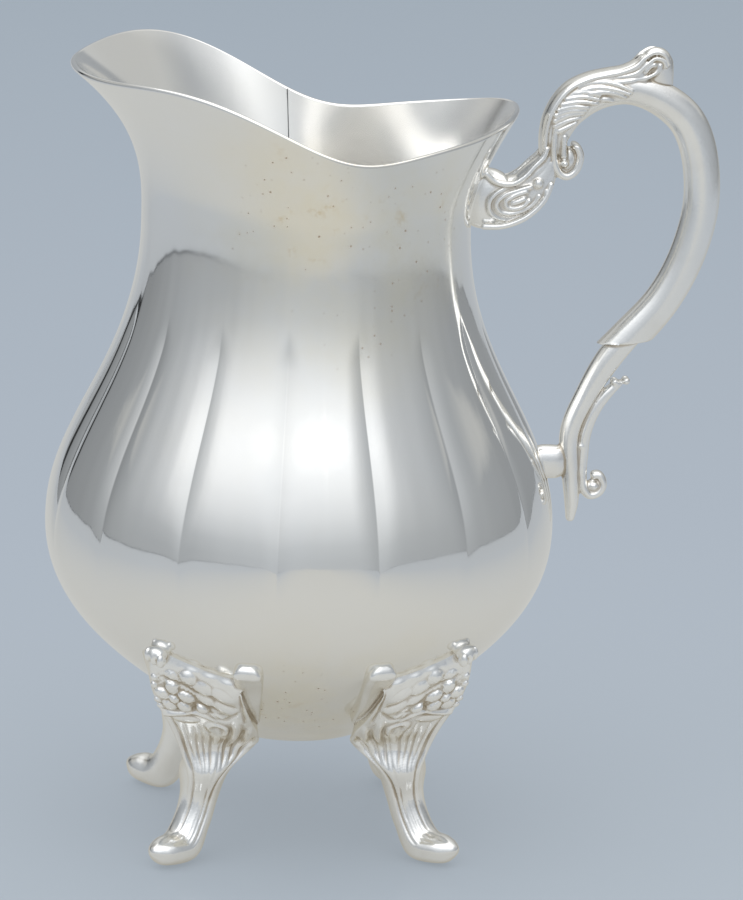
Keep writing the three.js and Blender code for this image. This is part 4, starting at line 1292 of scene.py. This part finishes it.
@dataclass(frozen=True)
class SheetFinish:
    """Bright polished plate on sheet, slightly warm, with faint polishing marks, tarnish and a
    painted warm reflection at the front of neck and bowl.
    """

    clean: Colour = (0.92, 0.915, 0.90)
    # Colour of the tarnish, which is also the colour of the painted warm reflection.
    warm: Colour = (0.94, 0.885, 0.74)
    ochre: Colour = (0.74, 0.57, 0.33)
    brown: Colour = (0.36, 0.20, 0.09)
    roughness: float = 0.055
    haze: float = 0.12
    polishing: tuple[float, float, float] = (260.0, 260.0, 22.0)

    def material(self, name: str, tarnish_reflection_patches: tuple[TarnishReflectionPatch, ...]) -> bpy.types.Material:
        """Builds the material.

        Args:
            name: its name.
            tarnish_reflection_patches: where the tarnish and the painted warm reflection are
                strongest.
        Returns:
            The material.
        """
        material = bpy.data.materials.new(name)
        material.use_nodes = True
        g = Graph(material.node_tree)
        where = g.add("ShaderNodeTexCoord").outputs["Object"]
        cloud = g.noise(where, 70.0, 5.0, 0.62)
        fine = g.noise(where, 420.0, 3.0)
        # Level of the warm colour, raised near each spot: partly real tarnish, partly a painted
        # warm reflection of the table.
        tarnish_reflection_level: Socket | float = self.haze
        for patch in tarnish_reflection_patches:
            gap = g.add("ShaderNodeVectorMath", {0: where, 1: patch.place}, operation="DISTANCE")
            core = patch.radius * 0.25
            near = g.grey(gap.outputs["Value"], patch.radius, core, 0.0, patch.strength)
            tarnish_reflection_level = g.math("MAXIMUM", near, tarnish_reflection_level)
        blotch = g.grey(cloud, 0.36, 0.66, 0.3, 1.0)
        stain_and_reflection = g.times(blotch, tarnish_reflection_level)
        distance, pick = g.cells(where, 1000.0, 0)
        speck = g.times(g.grey(distance, 0.27, 0.10), g.grey(pick, 0.80, 0.85))
        speck = g.times(speck, g.grey(g.times(tarnish_reflection_level, blotch), 0.3, 0.7))
        crust = g.grey(g.noise(where, 230.0, 6.0, 0.7), 0.58, 0.72)
        crust = g.times(crust, g.grey(stain_and_reflection, 0.4, 0.9, 0.0, 0.7))
        # Warm colour where that level is high: tarnish, and the painted warm reflection at the
        # front of neck and bowl.
        colour = g.mix(stain_and_reflection, self.clean, self.warm)
        colour = g.mix(crust, colour, self.ochre)
        colour = g.mix(g.times(speck, 0.75), colour, self.brown)
        rough = g.grey(fine, 0.3, 0.75, self.roughness * 0.8, self.roughness * 1.35)
        matte = g.add("ShaderNodeAttribute", attribute_name="matte").outputs["Fac"]
        for dull, share in ((stain_and_reflection, 0.22), (speck, 0.3), (matte, 0.5)):
            rough = g.math("ADD", rough, g.times(dull, share))
        metal = g.math("SUBTRACT", 1.0, g.times(matte, 0.7))
        stretch = g.add("ShaderNodeMapping", {0: where, 3: self.polishing})
        marks = g.noise(stretch.outputs[0], 1.0, 4.0)
        bump = g.add("ShaderNodeBump", {"Strength": 0.06, "Distance": 0.0004, "Height": marks})
        shader = g.add("ShaderNodeBsdfPrincipled", {
            "Base Color": colour, "Metallic": metal, "Roughness": rough, "Normal": bump.outputs[0]})
        g.add("ShaderNodeOutputMaterial", {0: shader.outputs[0]})
        return material


@dataclass(frozen=True)
class CastFinish:
    """Plated casting: whiter and softer than the sheet, brown in its recesses, with small pits and
    a painted warm sheen along its outlines.
    """

    clean: Colour = (0.97, 0.97, 0.96)
    # Colour of the painted warm sheen along the outlines.
    warm: Colour = (0.80, 0.74, 0.61)
    brown: Colour = (0.40, 0.31, 0.19)
    pit: Colour = (0.05, 0.04, 0.035)
    roughness: float = 0.19
    haze: float = 0.15

    def material(self, name: str) -> bpy.types.Material:
        """Builds the material, which reads the casting's recess attribute.

        Args:
            name: its name.
        Returns:
            The material.
        """
        material = bpy.data.materials.new(name)
        material.use_nodes = True
        g = Graph(material.node_tree)
        where = g.add("ShaderNodeTexCoord").outputs["Object"]
        recess = g.add("ShaderNodeAttribute", attribute_name="recess").outputs["Fac"]
        cloud = g.noise(where, 120.0, 4.0)
        grain = g.noise(where, 2200.0, 3.0)
        dirt = g.times(g.grey(recess, 0.12, 0.75), g.grey(cloud, 0.32, 0.62, 0.25, 0.95))
        dirt = g.math("MAXIMUM", dirt, g.times(g.grey(cloud, 0.5, 0.75), self.haze))
        distance, pick = g.cells(where, 300.0, 1)
        pit = g.times(g.grey(distance, 0.16, 0.1), g.grey(pick, 0.965, 0.97))
        # Painted warm sheen: the colour turns warm where the surface is seen at a grazing angle,
        # along the outlines.
        grazing_sheen = g.add("ShaderNodeLayerWeight", {0: 0.5}).outputs["Facing"]
        colour = g.mix(g.grey(grazing_sheen, 0.4, 0.95, 0.0, 0.9), self.clean, self.warm)
        colour = g.mix(g.times(dirt, 0.8), colour, self.brown)
        colour = g.mix(pit, colour, self.pit)
        rough = g.grey(grain, 0.3, 0.7, self.roughness * 0.8, self.roughness * 1.3)
        rough = g.math("ADD", rough, g.times(dirt, 0.25))
        bump = g.add("ShaderNodeBump", {"Strength": 0.12, "Distance": 0.0001, "Height": grain})
        shader = g.add("ShaderNodeBsdfPrincipled", {
            "Base Color": colour, "Metallic": 1.0, "Roughness": rough, "Normal": bump.outputs[0]})
        g.add("ShaderNodeOutputMaterial", {0: shader.outputs[0]})
        return material


@dataclass
class Studio:
    """Camera, table and soft light. Lengths in metres, angles in degrees."""

    axis_x: float
    azimuth: float = -7.62
    elevation: float = 14.53
    roll: float = 1.6
    distance: float = 0.815
    aim_z: float = 0.0641
    aim_right: float = 0.01154
    lens: float = 200.0
    table_half: float = 9.0
    table_points: int = 41
    # Colour of a painted shadow along the table's edges, seen only in reflections.
    table_edge_shadow: Colour = (0.02, 0.025, 0.03)
    edges: tuple[float, float, float] = (-0.62, 0.80, -0.85)
    # Paper colour from front to back, lighter in front and darker at the back: a painted fall-off
    # of the light.
    paper: tuple[tuple[float, Colour], ...] = (
        (0.0, (0.475, 0.535, 0.59)), (0.35, (0.415, 0.47, 0.54)), (1.0, (0.365, 0.427, 0.495)))
    mirrored_middle: Colour = (0.60, 0.60, 0.575)
    mirrored_side: Colour = (0.49, 0.52, 0.555)
    own_share: float = 0.5
    backdrop: Colour = (0.38, 0.44, 0.51)
    tint: Colour = (0.945, 1.0, 1.055)
    walls: Course = (
        (-180, 0.42), (-147, 0.40), (-143, 0.02), (-139, 0.02), (-136, 0.27), (-122, 0.30),
        (-100, 0.37), (-75, 0.43), (-50, 0.45), (-30, 0.52), (0, 0.57), (30, 0.54), (50, 0.45),
        (70, 0.43), (95, 0.39), (120, 0.33), (146, 0.33), (180, 0.42))
    window: Course = (
        (-180, 0.0), (-100, 0.04), (-80, 0.26), (-62, 0.72), (-46, 0.76), (-28, 0.66), (0, 0.56),
        (28, 0.62), (45, 0.42), (60, 0.18), (80, 0.06), (100, 0.0), (180, 0.0))
    window_rise: Course = (
        (-0.2, 0.0), (0.02, 0.0), (0.17, 0.07), (0.33, 0.27), (0.5, 0.56), (0.6, 0.80), (0.7, 1.0),
        (0.86, 0.6), (0.97, 0.0), (1.0, 0.0))
    wall_rise: Course = ((-0.2, 0.9), (0.0, 0.95), (0.3, 1.0), (0.7, 1.0), (0.97, 0.0), (1.0, 0.0))
    ceiling_rise: Course = ((-0.2, 0.0), (0.6, 0.0), (0.97, 0.95), (1.0, 0.95))
    back: Course = (
        (-180, 0.2), (-120, 0.2), (-95, 0.0), (95, 0.0), (115, 0.2), (180, 0.2))
    back_rise: Course = (
        (-0.2, 0.0), (0.26, 0.0), (0.30, 1.0), (0.75, 1.0), (0.97, 0.0), (1.0, 0.0))
    back_tint: Colour = (1.05, 1.0, 0.88)
    lamp_watts: float = 3.0
    lamp_size: float = 1.4
    lamp_place: tuple[float, float, float] = (-0.1, -0.05, 0.95)

    def camera(self) -> None:
        """Puts the camera at the photograph's view."""
        a, e = math.radians(self.azimuth), math.radians(self.elevation)
        back = Vector((math.sin(a) * math.cos(e), -math.cos(a) * math.cos(e), math.sin(e)))
        right = Vector((math.cos(a), math.sin(a), 0))
        data = bpy.data.cameras.new("camera")
        data.lens = self.lens
        camera = bpy.data.objects.new("camera", data)
        bpy.context.scene.collection.objects.link(camera)
        aim = Vector((self.axis_x * MM, 0, self.aim_z)) + right * self.aim_right
        camera.location = aim + back * self.distance
        roll = Matrix.Rotation(math.radians(self.roll), 3, "Z")
        turn = (-back).to_track_quat("-Z", "Y").to_matrix() @ roll
        camera.rotation_mode = "QUATERNION"
        camera.rotation_quaternion = turn.to_quaternion()
        bpy.context.scene.camera = camera

    def table(self) -> None:
        """Lays the pale table: a flat grid, which ends at the table's edges for reflections."""
        line = np.linspace(-self.table_half, self.table_half, self.table_points)
        x, y = np.meshgrid(line, line)
        grid = np.stack([x, y, 0 * x], 2)
        floor = mesh_object("table", grid.reshape(-1, 3), grid_quads(len(line), len(line), False))
        material = bpy.data.materials.new("table_paper")
        material.use_nodes = True
        g = Graph(material.node_tree)
        where = g.add("ShaderNodeTexCoord").outputs["Object"]
        split = g.add("ShaderNodeSeparateXYZ", {0: where})
        x, y = split.outputs[0], split.outputs[1]
        # Painted shading: the paper is lighter in front and darker towards the back.
        colour = g.ramp(g.grey(y, -0.2, 0.9), list(self.paper))
        path = g.add("ShaderNodeLightPath")
        glossy = path.outputs["Is Glossy Ray"]
        aside = g.math("ABSOLUTE", x)
        mirrored = g.mix(g.grey(aside, 0.05, 0.30), self.mirrored_middle, self.mirrored_side)
        left, right, front = self.edges
        beyond = g.math("MAXIMUM", g.math("SUBTRACT", left, x), g.math("SUBTRACT", x, right))
        beyond = g.math("MAXIMUM", beyond, g.math("SUBTRACT", front, y))
        # Painted shadow: a dark strip just inside the table's edges, away from the middle, for
        # reflections only.
        border = g.times(g.grey(beyond, -0.035, -0.028), g.grey(aside, 0.25, 0.5))
        mirrored = g.mix(border, mirrored, self.table_edge_shadow)
        colour = g.mix(glossy, colour, mirrored)
        paper = g.add("ShaderNodeBsdfPrincipled", {
            "Base Color": colour, "Roughness": 0.35, "Specular IOR Level": 0.3})
        own = g.add("ShaderNodeEmission", {0: colour, 1: 1.0})
        seen = g.math("MAXIMUM", glossy, path.outputs["Is Camera Ray"])
        seen = g.times(seen, self.own_share)
        shown = g.add("ShaderNodeMixShader", {0: seen, 1: paper.outputs[0], 2: own.outputs[0]})
        edge = g.math("GREATER_THAN", beyond, 0.0)
        clear = g.add("ShaderNodeBsdfTransparent")
        both = g.add("ShaderNodeMixShader", {
            0: g.times(edge, glossy), 1: shown.outputs[0], 2: clear.outputs[0]})
        g.add("ShaderNodeOutputMaterial", {0: both.outputs[0]})
        floor.data.materials.append(material)

    def light(self) -> None:
        """Room of soft grey walls, bright above and behind the camera, and a broad lamp."""
        world = bpy.data.worlds.new("room")
        world.use_nodes = True
        bpy.context.scene.world = world
        g = Graph(world.node_tree)
        way = g.add("ShaderNodeTexCoord").outputs["Generated"]
        a = math.radians(self.azimuth)
        front = g.add("ShaderNodeVectorMath", {0: way, 1: (math.sin(a), -math.cos(a), 0.0)},
                      operation="DOT_PRODUCT").outputs["Value"]
        side = g.add("ShaderNodeVectorMath", {0: way, 1: (math.cos(a), math.sin(a), 0.0)},
                     operation="DOT_PRODUCT").outputs["Value"]
        bearing = g.grey(g.math("ARCTAN2", side, front), -math.pi, math.pi)
        height = g.grey(g.add("ShaderNodeSeparateXYZ", {0: way}).outputs[2], -0.2, 1.0)

        def around(course: Course, tint: Colour = (1.0, 1.0, 1.0)) -> Socket:
            """Brightness by bearing in degrees."""
            stops = [((d + 180) / 360, tuple(v * t for t in tint)) for d, v in course]
            return g.ramp(bearing, stops)

        def upwards(course: Course) -> Socket:
            """Brightness by height on a ball round the scene, from -0.2 to 1."""
            return g.ramp(height, [((h + 0.2) / 1.2, (v, v, v)) for h, v in course])

        room = g.mix(1.0, around(self.walls, self.tint), upwards(self.wall_rise), "MULTIPLY")
        window = g.mix(1.0, around(self.window), upwards(self.window_rise), "MULTIPLY")
        back = g.mix(1.0, around(self.back, self.back_tint), upwards(self.back_rise), "MULTIPLY")
        for glow in (window, back, upwards(self.ceiling_rise)):
            room = g.mix(1.0, room, glow, "ADD")
        path = g.add("ShaderNodeLightPath")
        seen = g.mix(path.outputs["Is Camera Ray"], room, self.backdrop)
        sky = g.add("ShaderNodeBackground", {0: seen, 1: 1.0})
        g.add("ShaderNodeOutputWorld", {0: sky.outputs[0]})
        data = bpy.data.lights.new("overhead", "AREA")
        data.shape, data.size = "DISK", self.lamp_size
        data.energy = self.lamp_watts
        lamp = bpy.data.objects.new("overhead", data)
        lamp.location = self.lamp_place
        bpy.context.scene.collection.objects.link(lamp)


def dress(piece: Piece, node: str, material: bpy.types.Material) -> None:
    """Hangs a piece on the part: body, CAD node and material.

    Args:
        piece: the piece.
        node: the CAD node that it stands for.
        material: its material.
    """
    piece.data.materials.clear()
    piece.data.materials.append(material)
    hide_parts(node)
    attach(piece, "root")
    LOG.info("%s: %d faces, replaces %s", piece.name, len(piece.data.polygons), node)


def main() -> None:
    """Builds the creamer and its studio."""
    logging.basicConfig(level=logging.INFO, format="%(name)s: %(message)s")
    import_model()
    seam_low, seam_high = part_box("body_spout_half")[1][0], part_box("body_handle_half")[0][0]
    axis_x = (seam_low + seam_high) / 2 / MM
    body = Body(axis_x)
    # Spots at the front of the neck and of the lower bowl: real tarnish with brown specks, and a
    # painted warm reflection of the table in front.
    tarnish_reflection_patches = (
        TarnishReflectionPatch((axis_x * MM + 0.004, -0.027, 0.106), 0.034, 1.0),
        TarnishReflectionPatch((axis_x * MM + 0.002, -0.026, 0.027), 0.030, 0.9),
    )
    sheet = SheetFinish().material("polished_plate", tarnish_reflection_patches)
    cast = CastFinish().material("cast_plate")
    dress(body.half("body_spout_shell", math.pi / 2), "body_spout_half", sheet)
    dress(body.half("body_handle_shell", -math.pi / 2), "body_handle_half", sheet)
    dress(body.bottom("bottom_disc"), "base_disc", sheet)
    handle = Handle(body)
    dress(handle.shaft("handle_shaft"), "handle", cast)
    dress(handle.ornament("handle_leaf_and_bracket"), "handle", cast)
    foot = Foot(body)
    for place, turn, hand in (
            ("handle_rear", 46.5, Hand.LEFT), ("spout_rear", 136.5, Hand.RIGHT),
            ("spout_front", 223.5, Hand.LEFT), ("handle_front", 313.5, Hand.RIGHT)):
        dress(foot.build("cast_foot_" + place, turn, hand), "foot_" + place, cast)
    studio = Studio(axis_x)
    studio.camera()
    studio.table()
    studio.light()
    bpy.context.scene.view_settings.view_transform = "Standard"


if __name__ == "__main__":
    main()
